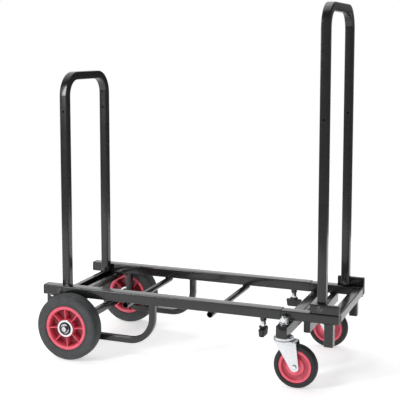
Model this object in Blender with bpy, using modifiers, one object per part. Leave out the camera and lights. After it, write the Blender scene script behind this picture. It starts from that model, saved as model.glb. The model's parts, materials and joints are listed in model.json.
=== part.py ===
"""Convertible hand truck: a telescoping platform cart with two folding handles.

+X runs from the rear wheels to the casters, +Y to the left side and +Z up.
The origin is on the ground, under the middle of the cart.  Units are metres.
Run with: blender --background --python part.py
"""
import math

import bmesh
import bpy
from mathutils import Matrix, Vector

# Driving dimensions -------------------------------------------------------
FRAME_LENGTH = 0.938        # rear end of the rails to the front end of the rails, retracted
GAP = 0.0003                # clearance between pieces that touch
WALL = 0.0015               # steel tube wall

OUTER_WIDTH = 0.036         # outer rail section
OUTER_HEIGHT = 0.030
OUTER_LENGTH = 0.771
RAIL_TOP = 0.215
RAIL_OUTSIDE = 0.181        # centre plane to the outside face of an outer rail
INNER_CLEARANCE = 0.00025   # sliding play on each side of the inner rail
INNER_START = 0.345         # distances "from the rear end" are measured along +X

CROSS_TUBE = 0.019
CROSS_WALL = 0.0016
CROSSBARS = {"crossbar_rear": 0.280, "crossbar_middle": 0.554}
CHANNEL_START = 0.031
CHANNEL_END = 0.100
CHANNEL_FLOOR = 0.003
PLUG_PLATE = 0.003          # moulded plug outside the rear end of a rail
PLUG_SPIGOT = 0.016

WHEEL_RADIUS = 0.1016       # 8 inch wheel
WHEEL_WIDTH = 0.054
WHEEL_FROM_REAR = 0.108
WHEEL_TRACK_HALF = 0.212
WHEEL_SEAT = 0.0680         # radius where the tyre sits on the rim
HUB_RADIUS = 0.0265
HUB_CAVITY = 0.0195
BEARING_RADIUS = 0.0191
AXLE_RADIUS = 0.008
AXLE_BEAM = 0.021
NUT_CORNER = 0.0139         # 24 mm nuts, centre to corner
HUB_BORE = 0.0084
SPOKES = 8
SPOKE_START = 0.0255
SPOKE_END = 0.0575
SPOKE_PLATE = 0.0028

LOOP_TUBE = 0.019
LOOP_REAR = 0.1315
LOOP_FRONT = 0.3665
LOOP_BOTTOM = 0.0665
LOOP_BEND = 0.076
LOOP_REAR_BEND = 0.030

HANDLE_TUBE = 0.0254
HANDLE_BEND = 0.062
HANDLE_FOOT = 0.006         # tube end below the pivot
HANDLE_HOLE = 0.003
HANDLE_HOLE_HEIGHT = 0.755
REAR_PIVOT = (0.0585, 0.200)
REAR_HANDLE_TOP = 0.8775
FRONT_PIVOT = (0.884, 0.2285)
FRONT_HANDLE_TOP = 1.080
FRONT_HANDLE_HALF = 0.150
PIVOT_BOLT = 0.004
BOLT_PLAY = 0.0004
BRACKET_START = 0.8555
BRACKET_TOP = 0.240
BRACKET_WIDTH = 0.0155

FOOT_START = 0.8955
FOOT_BOTTOM = 0.120
LOWER_BAR = (0.837, 0.856)
LOWER_BAR_BOTTOM = 0.155
LOWER_BAR_HALF = 0.174
END_BAR_DEPTH = 0.030

BEAM_WIDTH = 0.032
BEAM_BOTTOM = 0.146
BEAM_TOP = 0.180
BEAM_HALF = 0.219

CASTER_RADIUS = 0.0635      # 5 inch caster
CASTER_WIDTH = 0.028
CASTER_STEM = 0.785
CASTER_TRACK_HALF = 0.193
CASTER_TRAIL = 0.036
CASTER_SEAT = 0.0480
STEM_RADIUS = 0.008
STEM_TOP = 0.2030
RACE_RADIUS = 0.0285
YOKE_TOP = 0.1350
YOKE_PLATE = 0.0035
FORK_INSIDE = 0.0170
FORK_PLATE = 0.0026
FORK_NOSE = 0.018           # reach of a leg in front of the stem and behind it
FORK_TAIL = 0.041
FORK_TIP = 0.0130
FORK_BORE = 0.0066

KNOB_FROM_REAR = 0.715
KNOB_SCREW = 0.006
KNOB_TOP = 0.1575
KNOB_BOTTOM = 0.1290
KNOB_WING = (0.050, 0.018, 0.022)
SCREW_BOTTOM = 0.1450
BOSS_BOTTOM = 0.1730

SIDES = {"right": -1.0, "left": 1.0}

# Worked-out values ---------------------------------------------------------
REAR_X = -FRAME_LENGTH / 2
RAIL_Y = RAIL_OUTSIDE - OUTER_WIDTH / 2
RAIL_MID = RAIL_TOP - OUTER_HEIGHT / 2
RAIL_BOTTOM = RAIL_TOP - OUTER_HEIGHT
INNER_WIDTH = OUTER_WIDTH - 2 * (WALL + INNER_CLEARANCE)
INNER_HEIGHT = OUTER_HEIGHT - 2 * (WALL + INNER_CLEARANCE)
INNER_TOP = RAIL_MID + INNER_HEIGHT / 2
INNER_BOTTOM = RAIL_MID - INNER_HEIGHT / 2
REAR_HANDLE_HALF = RAIL_OUTSIDE - OUTER_WIDTH - 0.0006 - HANDLE_TUBE / 2

POWDER_COAT = ("powder_coat", (0.030, 0.030, 0.031), 0.2, 0.38)
BLACK_PLASTIC = ("black_plastic", (0.020, 0.020, 0.021), 0.0, 0.55)
RUBBER = ("rubber", (0.065, 0.066, 0.067), 0.0, 0.75)
CASTER_RUBBER = ("caster_rubber", (0.045, 0.047, 0.047), 0.0, 0.70)
RED_PLASTIC = ("red_plastic", (0.45, 0.045, 0.06), 0.0, 0.40)
ZINC = ("zinc", (0.80, 0.80, 0.81), 0.9, 0.32)


def from_rear(distance):
    """X of a point that lies this far from the rear end of the rails."""
    return REAR_X + distance


# Scene and object helpers ----------------------------------------------------
def clear_scene():
    for item in list(bpy.data.objects):
        bpy.data.objects.remove(item, do_unlink=True)


def new_collection(name):
    group = bpy.data.collections.new(name)
    bpy.context.scene.collection.children.link(group)
    return group


def get_material(finish_values):
    """The plain material of a finish, made once."""
    name, colour, metallic, roughness = finish_values
    found = bpy.data.materials.get(name)
    if found:
        return found
    made = bpy.data.materials.new(name)
    made.use_nodes = True
    shader = made.node_tree.nodes["Principled BSDF"]
    shader.inputs["Base Color"].default_value = (*colour, 1.0)
    shader.inputs["Metallic"].default_value = metallic
    shader.inputs["Roughness"].default_value = roughness
    made.diffuse_color = (*colour, 1.0)
    return made


def evaluated_mesh(item):
    """The object's final mesh, welded, with its faces pointing outwards."""
    depsgraph = bpy.context.evaluated_depsgraph_get()
    mesh = bpy.data.meshes.new_from_object(item.evaluated_get(depsgraph))
    work = bmesh.new()
    work.from_mesh(mesh)
    bmesh.ops.remove_doubles(work, verts=work.verts, dist=0.00002)
    bmesh.ops.dissolve_degenerate(work, edges=work.edges, dist=0.000005)
    bmesh.ops.recalc_face_normals(work, faces=work.faces)
    work.to_mesh(mesh)
    work.free()
    return mesh


def frozen(item, name):
    """Replace a working object by a plain mesh object with the same place."""
    mesh = evaluated_mesh(item)
    place = item.matrix_world.copy()
    bpy.data.objects.remove(item, do_unlink=True)
    result = bpy.data.objects.new(name, mesh)
    bpy.context.scene.collection.objects.link(result)
    result.matrix_world = place
    bpy.context.view_layer.update()
    return result


def move_to(item, group):
    for owner in list(item.users_collection):
        owner.objects.unlink(item)
    group.objects.link(item)


def finish(item, finish_values, smooth=35.0):
    """Give a piece its material, its shading and its collection."""
    item.data.materials.clear()
    item.data.materials.append(get_material(finish_values))
    item.data.shade_smooth()
    item.data.set_sharp_from_angle(angle=math.radians(smooth))
    if item.modifiers:
        weld = item.modifiers.new("weld", 'WELD')
        weld.merge_threshold = 0.00002
    move_to(item, PARTS)
    return item


def boolean(item, tool, operation):
    """Add a live boolean to a piece."""
    modifier = item.modifiers.new(operation.lower(), 'BOOLEAN')
    modifier.operation = operation
    modifier.solver = 'EXACT'
    modifier.object = tool


def combine(item, tool, operation):
    """Apply one boolean now and remove the tool."""
    boolean(item, tool, operation)
    bpy.context.view_layer.update()
    result = frozen(item, item.name)
    bpy.data.objects.remove(tool, do_unlink=True)
    return result


def cut(item, tool):
    """Leave a live boolean cut on the piece; the cutter stays hidden."""
    tool.name = "cutter"
    tool.hide_render = True
    tool.display_type = 'WIRE'
    move_to(tool, CUTTERS)
    boolean(item, tool, 'DIFFERENCE')


# Shape helpers ---------------------------------------------------------------
AXES = {
    "x": Matrix(((0, 0, 1), (1, 0, 0), (0, 1, 0))).to_4x4(),
    "y": Matrix(((1, 0, 0), (0, 0, -1), (0, 1, 0))).to_4x4(),
    "z": Matrix.Identity(4),
}


def rounded_rectangle(width, height, radius, steps=2):
    """Corner points of a rounded rectangle centred on zero."""
    points = []
    for turn, (across, up) in enumerate(((1, 1), (-1, 1), (-1, -1), (1, -1))):
        middle = Vector((across * (width / 2 - radius), up * (height / 2 - radius)))
        for step in range(steps + 1):
            angle = math.radians(90 * turn + 90 * step / steps)
            points.append(middle + radius * Vector((math.cos(angle), math.sin(angle))))
    return points


def circle(radius, count):
    """Points on a circle around zero."""
    angles = [2 * math.pi * i / count for i in range(count)]
    return [radius * Vector((math.cos(angle), math.sin(angle))) for angle in angles]


def extrusion(name, outlines, length, axis, centre):
    """Extrude closed outlines along an axis.  Inner outlines become holes.

    The outline's two axes are Y and Z for axis x, X and Z for axis y, X and Y for axis z.
    """
    curve = bpy.data.curves.new(name, 'CURVE')
    curve.dimensions = '2D'
    curve.fill_mode = 'BOTH'
    curve.extrude = length / 2
    for outline in outlines:
        spline = curve.splines.new('POLY')
        spline.points.add(len(outline) - 1)
        for point, place in zip(spline.points, outline):
            point.co = (place[0], place[1], 0, 1)
        spline.use_cyclic_u = True
    item = bpy.data.objects.new(name, curve)
    bpy.context.scene.collection.objects.link(item)
    item.matrix_world = Matrix.Translation(centre) @ AXES[axis]
    bpy.context.view_layer.update()
    return frozen(item, name)


def straight_tube(name, width, height, wall, length, axis, centre, corner=0.003):
    outer = rounded_rectangle(width, height, corner)
    inner = rounded_rectangle(width - 2 * wall, height - 2 * wall, max(corner - wall, 0.0008), 1)
    return extrusion(name, [outer, inner], length, axis, centre)


def box(name, low, high):
    size = [b - a for a, b in zip(low, high)]
    centre = [(a + b) / 2 for a, b in zip(low, high)]
    bpy.ops.mesh.primitive_cube_add(size=1, location=centre)
    item = bpy.context.object
    item.name = name
    item.data.transform(Matrix.Diagonal((*size, 1)))
    return item


def rod(name, radius, length, axis, centre, sides=20):
    """A plain cylinder along an axis."""
    bpy.ops.mesh.primitive_cylinder_add(vertices=sides, radius=radius, depth=length)
    item = bpy.context.object
    item.name = name
    item.data.transform(Matrix.Rotation(math.radians(7), 4, 'Z'))   # keeps its corners off flat seams
    item.matrix_world = Matrix.Translation(centre) @ AXES[axis]
    bpy.context.view_layer.update()
    return item


def turned(name, outline, axis, centre, steps=32, closed=True, flip=False):
    """Turn an outline of (radius, distance along the axis) points about an axis."""
    mesh = bpy.data.meshes.new(name)
    side = -1.0 if flip else 1.0
    points = [(radius, 0, side * along) for radius, along in outline]
    edges = [(i, i + 1) for i in range(len(points) - 1)]
    if closed:
        edges.append((len(points) - 1, 0))
    mesh.from_pydata(points, edges, [])
    item = bpy.data.objects.new(name, mesh)
    bpy.context.scene.collection.objects.link(item)
    item.matrix_world = Matrix.Translation(centre) @ AXES[axis]
    screw = item.modifiers.new("turn", 'SCREW')
    screw.steps = steps
    screw.render_steps = steps
    screw.use_merge_vertices = True
    screw.merge_threshold = 0.00002
    bpy.context.view_layer.update()
    return frozen(item, name)


def filleted_path(corners, radii, steps=8):
    """An open path of straight runs joined by arcs of the given radii."""
    path = [Vector(corners[0])]
    for before, corner, after, radius in zip(corners, corners[1:], corners[2:], radii):
        corner = Vector(corner)
        way_in = (Vector(before) - corner).normalized()
        way_out = (Vector(after) - corner).normalized()
        half = way_in.angle(way_out) / 2
        centre = corner + (way_in + way_out).normalized() * radius / math.sin(half)
        start = corner + way_in * radius / math.tan(half) - centre
        end = corner + way_out * radius / math.tan(half) - centre
        turn = start.angle_signed(end)
        for step in range(steps + 1):
            rotation = Matrix.Rotation(-turn * step / steps, 2)
            path.append(centre + rotation @ start)
    path.append(Vector(corners[-1]))
    return path


def bent_tube(name, corners, radii, size, wall, axis, centre, steps=8, corner=0.003):
    """A hollow square tube along a flat path, standing in the plane across the axis."""
    section = bpy.data.curves.new(name + "_section", 'CURVE')
    section.dimensions = '2D'
    outline = rounded_rectangle(size, size, corner, 1)
    spline = section.splines.new('POLY')
    spline.points.add(len(outline) - 1)
    for point, place in zip(spline.points, outline):
        point.co = (place[0], place[1], 0, 1)
    spline.use_cyclic_u = True
    section_object = bpy.data.objects.new(name + "_section", section)
    bpy.context.scene.collection.objects.link(section_object)

    curve = bpy.data.curves.new(name, 'CURVE')
    curve.dimensions = '2D'
    curve.fill_mode = 'NONE'
    curve.bevel_mode = 'OBJECT'
    curve.bevel_object = section_object
    path = filleted_path(corners, radii, steps)
    spline = curve.splines.new('POLY')
    spline.points.add(len(path) - 1)
    for point, place in zip(spline.points, path):
        point.co = (place.x, place.y, 0, 1)
    item = bpy.data.objects.new(name, curve)
    bpy.context.scene.collection.objects.link(item)
    item.matrix_world = Matrix.Translation(centre) @ AXES[axis]
    bpy.context.view_layer.update()
    item = frozen(item, name)
    bpy.data.objects.remove(section_object, do_unlink=True)

    shell = item.modifiers.new("wall", 'SOLIDIFY')
    shell.thickness = wall
    shell.offset = -1.0
    shell.use_even_offset = True
    shell.use_rim = True
    bpy.context.view_layer.update()
    return frozen(item, name)


# Rear frame ------------------------------------------------------------------
def make_outer_rails():
    """Two square tubes with a moulded plug in the rear end."""
    start = PLUG_PLATE
    length = OUTER_LENGTH - start
    for side, sign in SIDES.items():
        centre = (from_rear(start + length / 2), sign * RAIL_Y, RAIL_MID)
        rail = straight_tube("outer_rail_" + side, OUTER_WIDTH, OUTER_HEIGHT, WALL, length, "x",
                             centre)
        pivot = (from_rear(REAR_PIVOT[0]), sign * RAIL_Y, REAR_PIVOT[1])
        cut(rail, rod("cutter", PIVOT_BOLT + BOLT_PLAY, OUTER_WIDTH + 0.01, "y", pivot, 16))
        screw = (from_rear(KNOB_FROM_REAR), sign * RAIL_Y, RAIL_BOTTOM)
        cut(rail, rod("cutter", KNOB_SCREW + 0.0005, 0.010, "z", screw, 16))
        finish(rail, POWDER_COAT)
        make_rail_plug("outer_rail_plug_" + side, sign, start)


def make_rail_plug(name, sign, start):
    """Moulded plug in the open rear end of an outer rail."""
    plate = extrusion(name, [rounded_rectangle(OUTER_WIDTH, OUTER_HEIGHT, 0.003)], start - GAP, "x",
                      (from_rear((start - GAP) / 2), sign * RAIL_Y, RAIL_MID))
    thick = 2 * (WALL + GAP)
    inside = rounded_rectangle(OUTER_WIDTH - thick, OUTER_HEIGHT - thick, 0.0015, 1)
    spigot = extrusion("spigot", [inside], PLUG_SPIGOT, "x",
                       (from_rear(0.0095), sign * RAIL_Y, RAIL_MID))
    finish(combine(plate, spigot, 'UNION'), BLACK_PLASTIC)


def make_crossbars():
    """Two round tubes under the rails, and the pressed channel behind them."""
    height = RAIL_BOTTOM - GAP - CROSS_TUBE / 2
    for name, distance in CROSSBARS.items():
        outlines = [circle(CROSS_TUBE / 2, 16), circle(CROSS_TUBE / 2 - CROSS_WALL, 12)]
        bar = extrusion(name, outlines, 2 * (RAIL_Y + 0.010), "y", (from_rear(distance), 0, height))
        finish(bar, POWDER_COAT)
    make_cross_channel()


def make_cross_channel():
    """Pressed channel across the rear: two square ribs joined by a floor."""
    rib = CROSS_TUBE - 0.001
    floor = CHANNEL_FLOOR
    span = CHANNEL_END - CHANNEL_START
    outline = [(0, 0), (span, 0), (span, rib), (span - rib, rib), (span - rib, floor), (rib, floor),
               (rib, rib), (0, rib)]
    centre = (from_rear(CHANNEL_START), 0, RAIL_BOTTOM - GAP - rib)
    channel = extrusion("rear_cross_channel", [outline], 2 * (RAIL_Y + 0.012), "y", centre)
    finish(channel, POWDER_COAT)


def make_axle():
    """Square beam between the loops, the axle rod through it and a nut at each end."""
    reach = RAIL_Y - LOOP_TUBE / 2 + 0.010
    centre = (from_rear(WHEEL_FROM_REAR), 0, WHEEL_RADIUS)
    beam = straight_tube("axle_beam", AXLE_BEAM, AXLE_BEAM, WALL, 2 * reach, "y", centre, 0.002)
    finish(beam, POWDER_COAT)
    half = WHEEL_TRACK_HALF + WHEEL_WIDTH / 2 + 0.0085
    finish(rod("wheel_axle", AXLE_RADIUS, 2 * half, "y", centre, 20), ZINC)
    for side, sign in SIDES.items():
        nut_centre = (centre[0], sign * (WHEEL_TRACK_HALF + WHEEL_WIDTH / 2 + 0.0055), centre[2])
        outlines = [circle(NUT_CORNER, 6), circle(AXLE_RADIUS + GAP, 16)]
        finish(extrusion("wheel_nut_" + side, outlines, 0.010, "y", nut_centre), ZINC)


def make_side_loops():
    """Bent tube under each rail, from the axle beam to the middle of the rail."""
    top = RAIL_BOTTOM - GAP
    corners = [(from_rear(LOOP_REAR), top), (from_rear(LOOP_REAR), LOOP_BOTTOM),
               (from_rear(LOOP_FRONT), LOOP_BOTTOM), (from_rear(LOOP_FRONT), top)]
    for side, sign in SIDES.items():
        loop = bent_tube("side_loop_" + side, corners, [LOOP_REAR_BEND, LOOP_BEND], LOOP_TUBE, WALL,
                         "y", (0, sign * RAIL_Y, 0), steps=8, corner=0.002)
        finish(loop, POWDER_COAT)


def make_gussets():
    """Plate that hangs from each rail behind the wheel and stiffens the handle pivot."""
    top = RAIL_BOTTOM - GAP
    start = from_rear(0.013)
    outline = [(start, top), (start, top - 0.034), (start + 0.012, top - 0.034),
               (start + 0.052, top - 0.012), (start + 0.052, top)]
    for side, sign in SIDES.items():
        centre = (0, sign * (RAIL_OUTSIDE - 0.0016), 0)
        finish(extrusion("rear_gusset_" + side, [outline], 0.003, "y", centre), POWDER_COAT)


def make_clamp_bosses():
    """Threaded boss under each outer rail, for the clamp screw."""
    bore = KNOB_SCREW + BOLT_PLAY
    outline = [(bore, BOSS_BOTTOM), (0.0095, BOSS_BOTTOM), (0.0105, RAIL_BOTTOM - GAP),
               (bore, RAIL_BOTTOM - GAP)]
    for side, sign in SIDES.items():
        centre = (from_rear(KNOB_FROM_REAR), sign * RAIL_Y, 0)
        finish(turned("clamp_boss_" + side, outline, "z", centre, 20), POWDER_COAT)


def pivot_bolt(name, sign, outside, inside, centre):
    """Button-head bolt with its nut, from the outside face to the inside face."""
    outline = [(0.0, outside + 0.0042), (0.0045, outside + 0.0038), (0.0072, outside + 0.0016),
               (0.0075, outside + GAP), (PIVOT_BOLT, outside + GAP), (PIVOT_BOLT, inside - GAP),
               (0.0070, inside - GAP), (0.0070, inside - 0.0060), (PIVOT_BOLT, inside - 0.0066),
               (PIVOT_BOLT, inside - 0.0090), (0.0, inside - 0.0090)]
    bolt = turned(name, outline, "y", centre, 16, closed=False, flip=sign > 0)
    return finish(bolt, ZINC)


def make_rear_pivot_bolts():
    """Bolts through the outer rails that carry the rear handle."""
    for side, sign in SIDES.items():
        centre = (from_rear(REAR_PIVOT[0]), 0, REAR_PIVOT[1])
        pivot_bolt("rear_pivot_bolt_" + side, sign, RAIL_OUTSIDE, REAR_HANDLE_HALF - HANDLE_TUBE / 2,
                   centre)


# Front frame -----------------------------------------------------------------
def make_inner_rails():
    """Tubes that slide in the outer rails."""
    length = FRAME_LENGTH - INNER_START
    for side, sign in SIDES.items():
        centre = (from_rear(INNER_START + length / 2), sign * RAIL_Y, RAIL_MID)
        rail = straight_tube("inner_rail_" + side, INNER_WIDTH, INNER_HEIGHT, WALL, length, "x",
                             centre, 0.002)
        finish(rail, POWDER_COAT)


def make_front_bars():
    """Bar across the front ends of the inner rails, and a lower one under them."""
    inside = RAIL_Y - INNER_WIDTH / 2 - GAP
    centre = (from_rear(FRAME_LENGTH - END_BAR_DEPTH / 2), 0, RAIL_MID)
    end_bar = straight_tube("end_bar", END_BAR_DEPTH, INNER_HEIGHT, WALL, 2 * inside, "y", centre)
    finish(end_bar, POWDER_COAT)
    top = INNER_BOTTOM - GAP
    start, end = LOWER_BAR
    centre = (from_rear((start + end) / 2), 0, (LOWER_BAR_BOTTOM + top) / 2)
    lower = straight_tube("lower_crossbar", end - start, top - LOWER_BAR_BOTTOM, WALL,
                          2 * LOWER_BAR_HALF, "y", centre)
    finish(lower, POWDER_COAT)


def make_caster_beam():
    """Cross beam with closed ends that carries the casters outside the rails."""
    middle = from_rear(CASTER_STEM)
    height = BEAM_TOP - BEAM_BOTTOM
    outer = rounded_rectangle(BEAM_WIDTH, height, 0.003)
    beam = extrusion("caster_beam", [outer], 2 * BEAM_HALF, "y",
                     (middle, 0, (BEAM_TOP + BEAM_BOTTOM) / 2))
    pad = 0.012
    for sign in SIDES.values():
        low = (middle - pad, sign * RAIL_Y - pad, BEAM_TOP - 0.002)
        high = (middle + pad, sign * RAIL_Y + pad, INNER_BOTTOM - GAP)
        beam = combine(beam, box("pad", low, high), 'UNION')
    wall = 0.002
    low = (middle - BEAM_WIDTH / 2 + wall, -BEAM_HALF + wall, BEAM_BOTTOM + wall)
    high = (middle + BEAM_WIDTH / 2 - wall, BEAM_HALF - wall, BEAM_TOP - wall)
    cut(beam, box("cutter", low, high))
    for sign in SIDES.values():
        stem = (middle, sign * CASTER_TRACK_HALF, (BEAM_TOP + BEAM_BOTTOM) / 2)
        cut(beam, rod("cutter", STEM_RADIUS + GAP, height + 0.01, "z", stem, 20))
    finish(beam, POWDER_COAT)


def make_handle_brackets():
    """Box section on the outer half of each inner rail; the front handle pivots on its inside."""
    low = INNER_TOP + GAP
    length = FRAME_LENGTH - BRACKET_START
    for side, sign in SIDES.items():
        outside = RAIL_Y + INNER_WIDTH / 2
        centre = (from_rear(BRACKET_START + length / 2), sign * (outside - BRACKET_WIDTH / 2),
                  (low + BRACKET_TOP) / 2)
        bracket = straight_tube("handle_bracket_" + side, BRACKET_WIDTH, BRACKET_TOP - low, 0.0020,
                                length, "x", centre, 0.0026)
        pivot = (from_rear(FRONT_PIVOT[0]), centre[1], FRONT_PIVOT[1])
        cut(bracket, rod("cutter", PIVOT_BOLT + BOLT_PLAY, BRACKET_WIDTH + 0.01, "y", pivot, 16))
        finish(bracket, POWDER_COAT)
        centre = (from_rear(FRONT_PIVOT[0]), 0, FRONT_PIVOT[1])
        pivot_bolt("front_pivot_bolt_" + side, sign, outside, FRONT_HANDLE_HALF - HANDLE_TUBE / 2,
                   centre)


def make_feet():
    """Square stub under the front end of each inner rail."""
    top = INNER_BOTTOM - GAP
    for side, sign in SIDES.items():
        centre = (from_rear(FOOT_START + HANDLE_TUBE / 2), sign * RAIL_Y, (FOOT_BOTTOM + top) / 2)
        foot = straight_tube("foot_" + side, HANDLE_TUBE, HANDLE_TUBE, WALL, top - FOOT_BOTTOM, "z",
                             centre)
        finish(foot, POWDER_COAT)


def make_kingpins():
    """Caster stem with its fixed bearing cup, and the nut on top of the beam."""
    cup_top = BEAM_BOTTOM - GAP
    cup_low = YOKE_TOP + 0.0025
    neck = 0.0062
    under = YOKE_TOP - YOKE_PLATE
    outline = [(0.0, STEM_TOP), (STEM_RADIUS - 0.001, STEM_TOP), (STEM_RADIUS, STEM_TOP - 0.001),
               (STEM_RADIUS, cup_top), (RACE_RADIUS - 0.0015, cup_top), (RACE_RADIUS, cup_top - 0.0015),
               (RACE_RADIUS, cup_low), (neck, cup_low), (neck, under - GAP), (0.0095, under - GAP),
               (0.0085, under - 0.0028), (0.0, under - 0.0030)]
    washer = 0.0025
    nut = 0.0165
    for side, sign in SIDES.items():
        place = (from_rear(CASTER_STEM), sign * CASTER_TRACK_HALF, 0)
        finish(turned("kingpin_" + side, outline, "z", place, 16, closed=False), ZINC)
        low = BEAM_TOP + GAP
        hexagon = [circle(NUT_CORNER, 6), circle(STEM_RADIUS + GAP, 16)]
        body = extrusion("stem_nut_" + side, hexagon, nut, "z",
                         (place[0], place[1], low + washer + nut / 2))
        ring = [circle(0.0150, 24), circle(STEM_RADIUS + GAP, 16)]
        thick = washer + 0.0004     # reaches into the nut, so that the two join
        flat = extrusion("washer", ring, thick, "z", (place[0], place[1], low + thick / 2))
        finish(combine(body, flat, 'UNION'), ZINC)


# Handles ---------------------------------------------------------------------
def make_handle(name, pivot, top, half):
    """U-shaped square tube with its open ends at the pivot, and a hole in each leg."""
    x = from_rear(pivot[0])
    low = pivot[1] - HANDLE_FOOT
    high = top - HANDLE_TUBE / 2
    corners = [(-half, low), (-half, high), (half, high), (half, low)]
    handle = bent_tube(name + "_tube", corners, [HANDLE_BEND, HANDLE_BEND], HANDLE_TUBE, WALL, "x",
                       (x, 0, 0), steps=7)
    for height, radius in ((pivot[1], PIVOT_BOLT + BOLT_PLAY), (HANDLE_HOLE_HEIGHT, HANDLE_HOLE)):
        cut(handle, rod("cutter", radius, 2 * half + 0.1, "y", (x, 0, height), 16))
    finish(handle, POWDER_COAT)


def make_handle_plugs(name, pivot, half):
    """Thin moulded plug in each open end of a handle."""
    inside = HANDLE_TUBE - 2 * WALL - 2 * GAP
    for side, sign in SIDES.items():
        x = from_rear(pivot[0])
        low = pivot[1] - HANDLE_FOOT
        body = extrusion(name + "_plug_" + side, [rounded_rectangle(inside, inside, 0.003, 1)],
                         0.0016, "z", (x, sign * half, low + 0.0005))
        finish(body, BLACK_PLASTIC)


# Wheels ----------------------------------------------------------------------
def arc(centre, radius, start, end, count):
    """Points on an arc in (radius, along) coordinates; angles in degrees."""
    points = []
    for i in range(count):
        angle = math.radians(start + (end - start) * i / (count - 1))
        points.append((centre[0] + radius * math.cos(angle), centre[1] + radius * math.sin(angle)))
    return points


def tyre_outline(outer, inner, half, shoulder, lip):
    """Half-rounded tread over straight side walls, around the rim."""
    right = arc((outer - shoulder, half - shoulder), shoulder, 90, 0, 4)
    left = arc((outer - shoulder, -half + shoulder), shoulder, 0, -90, 4)
    return [(inner, half - lip)] + right + left + [(inner, -half + lip)]


def make_wheel(name, centre):
    """Rear wheel: solid tyre on a red spoked rim with a bearing."""
    half = WHEEL_WIDTH / 2
    outline = tyre_outline(WHEEL_RADIUS, WHEEL_SEAT, half, 0.014, 0.003)
    finish(turned(name + "_tyre", outline, "y", centre, 36), RUBBER)
    lip = WHEEL_SEAT - GAP
    face = [(lip, half - 0.004), (lip - 0.009, half - 0.003), (lip - 0.012, half - 0.008),
            (0.0480, 0.004), (0.0300, 0.004), (HUB_RADIUS + 0.0005, half - 0.006),
            (HUB_RADIUS, half - 0.001), (HUB_CAVITY, half - 0.001)]
    ring = face + [(radius, -along) for radius, along in reversed(face)]
    rim = turned(name + "_rim", ring, "y", centre, 32)
    for turn in range(SPOKES):
        angle = math.radians(360 * turn / SPOKES + 4)
        spoke = box("spoke", (SPOKE_START, -half + 0.0085, -SPOKE_PLATE / 2),
                    (SPOKE_END, half - 0.0085, SPOKE_PLATE / 2))
        spoke.matrix_world = (Matrix.Translation(centre) @ Matrix.Rotation(-angle, 4, 'Y')
                              @ spoke.matrix_world)
        bpy.context.view_layer.update()
        rim = combine(rim, spoke, 'UNION')
    finish(rim, RED_PLASTIC)
    race = [(HUB_BORE, half - 0.002), (BEARING_RADIUS, half - 0.002),
            (BEARING_RADIUS, -half + 0.002), (HUB_BORE, -half + 0.002)]
    finish(turned(name + "_bearing", race, "y", centre, 24), BLACK_PLASTIC)


def make_wheels():
    """The two rear wheels, one outside each side loop."""
    for side, sign in SIDES.items():
        centre = (from_rear(WHEEL_FROM_REAR), sign * WHEEL_TRACK_HALF, WHEEL_RADIUS)
        make_wheel("wheel_" + side, centre)


# Casters ---------------------------------------------------------------------
def make_caster(side, sign):
    """Swivel caster: yoke, tyre, stepped rim and axle bolt."""
    stem = Vector((from_rear(CASTER_STEM), sign * CASTER_TRACK_HALF, 0))
    hub = stem + Vector((CASTER_TRAIL, 0, CASTER_RADIUS))
    make_fork("caster_fork_" + side, stem, hub)

    outline = tyre_outline(CASTER_RADIUS, CASTER_SEAT, CASTER_WIDTH / 2, 0.009, 0.002)
    finish(turned("caster_tyre_" + side, outline, "y", hub, 28), CASTER_RUBBER)
    half = CASTER_WIDTH / 2
    seat = CASTER_SEAT - GAP
    front = [(seat, half - 0.003), (seat - 0.007, half - 0.002), (seat - 0.010, half - 0.008),
             (0.0200, half - 0.008), (0.0160, half + 0.0022), (FORK_BORE, half + 0.0022)]
    ring = front + [(radius, -along) for radius, along in reversed(front)]
    finish(turned("caster_rim_" + side, ring, "y", hub, 24), RED_PLASTIC)

    face = FORK_INSIDE + FORK_PLATE
    head = [(0.0, face + 0.0062), (0.0066, face + 0.0060), (0.0075, face + 0.0048),
            (0.0075, face + GAP), (0.0062, face + GAP)]
    bolt = head + [(radius, -along) for radius, along in reversed(head)]
    finish(turned("caster_axle_" + side, bolt, "y", hub, 16, closed=False), ZINC)


def make_fork(name, stem, hub):
    """Pressed yoke: a round-ended crown plate with two tapering legs."""
    tip = arc((hub.x, hub.z), FORK_TIP, -10, -152, 8)
    leg_top = YOKE_TOP - 0.0006     # just under the crown's face, so that the faces don't coincide
    leg = [(stem.x - FORK_NOSE, leg_top), (stem.x + FORK_TAIL, leg_top)] + tip
    middle = FORK_INSIDE + FORK_PLATE / 2
    outer = FORK_INSIDE + FORK_PLATE
    nose_angle = math.degrees(math.asin(middle / RACE_RADIUS))
    nose = arc((stem.x, 0), RACE_RADIUS, 180 - nose_angle, 180 + nose_angle, 9)
    tail_radius = 0.0280
    tail_angle = math.degrees(math.asin(middle / tail_radius))
    tail = arc((stem.x + FORK_NOSE, 0), tail_radius, -tail_angle, tail_angle, 7)
    crown = extrusion(name, [nose + tail], YOKE_PLATE, "z", (0, stem.y, YOKE_TOP - YOKE_PLATE / 2))
    for sign in SIDES.values():
        plate = extrusion("leg", [leg], FORK_PLATE, "y", (0, stem.y + sign * middle, 0))
        crown = combine(crown, plate, 'UNION')
    cut(crown, rod("hole", FORK_BORE, 0.02, "z", (stem.x, stem.y, YOKE_TOP), 15))
    cut(crown, rod("bore", FORK_BORE, 2 * outer + 0.01, "y", (hub.x, stem.y, hub.z), 15))
    finish(crown, ZINC)


def make_casters():
    for side, sign in SIDES.items():
        make_caster(side, sign)


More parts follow.
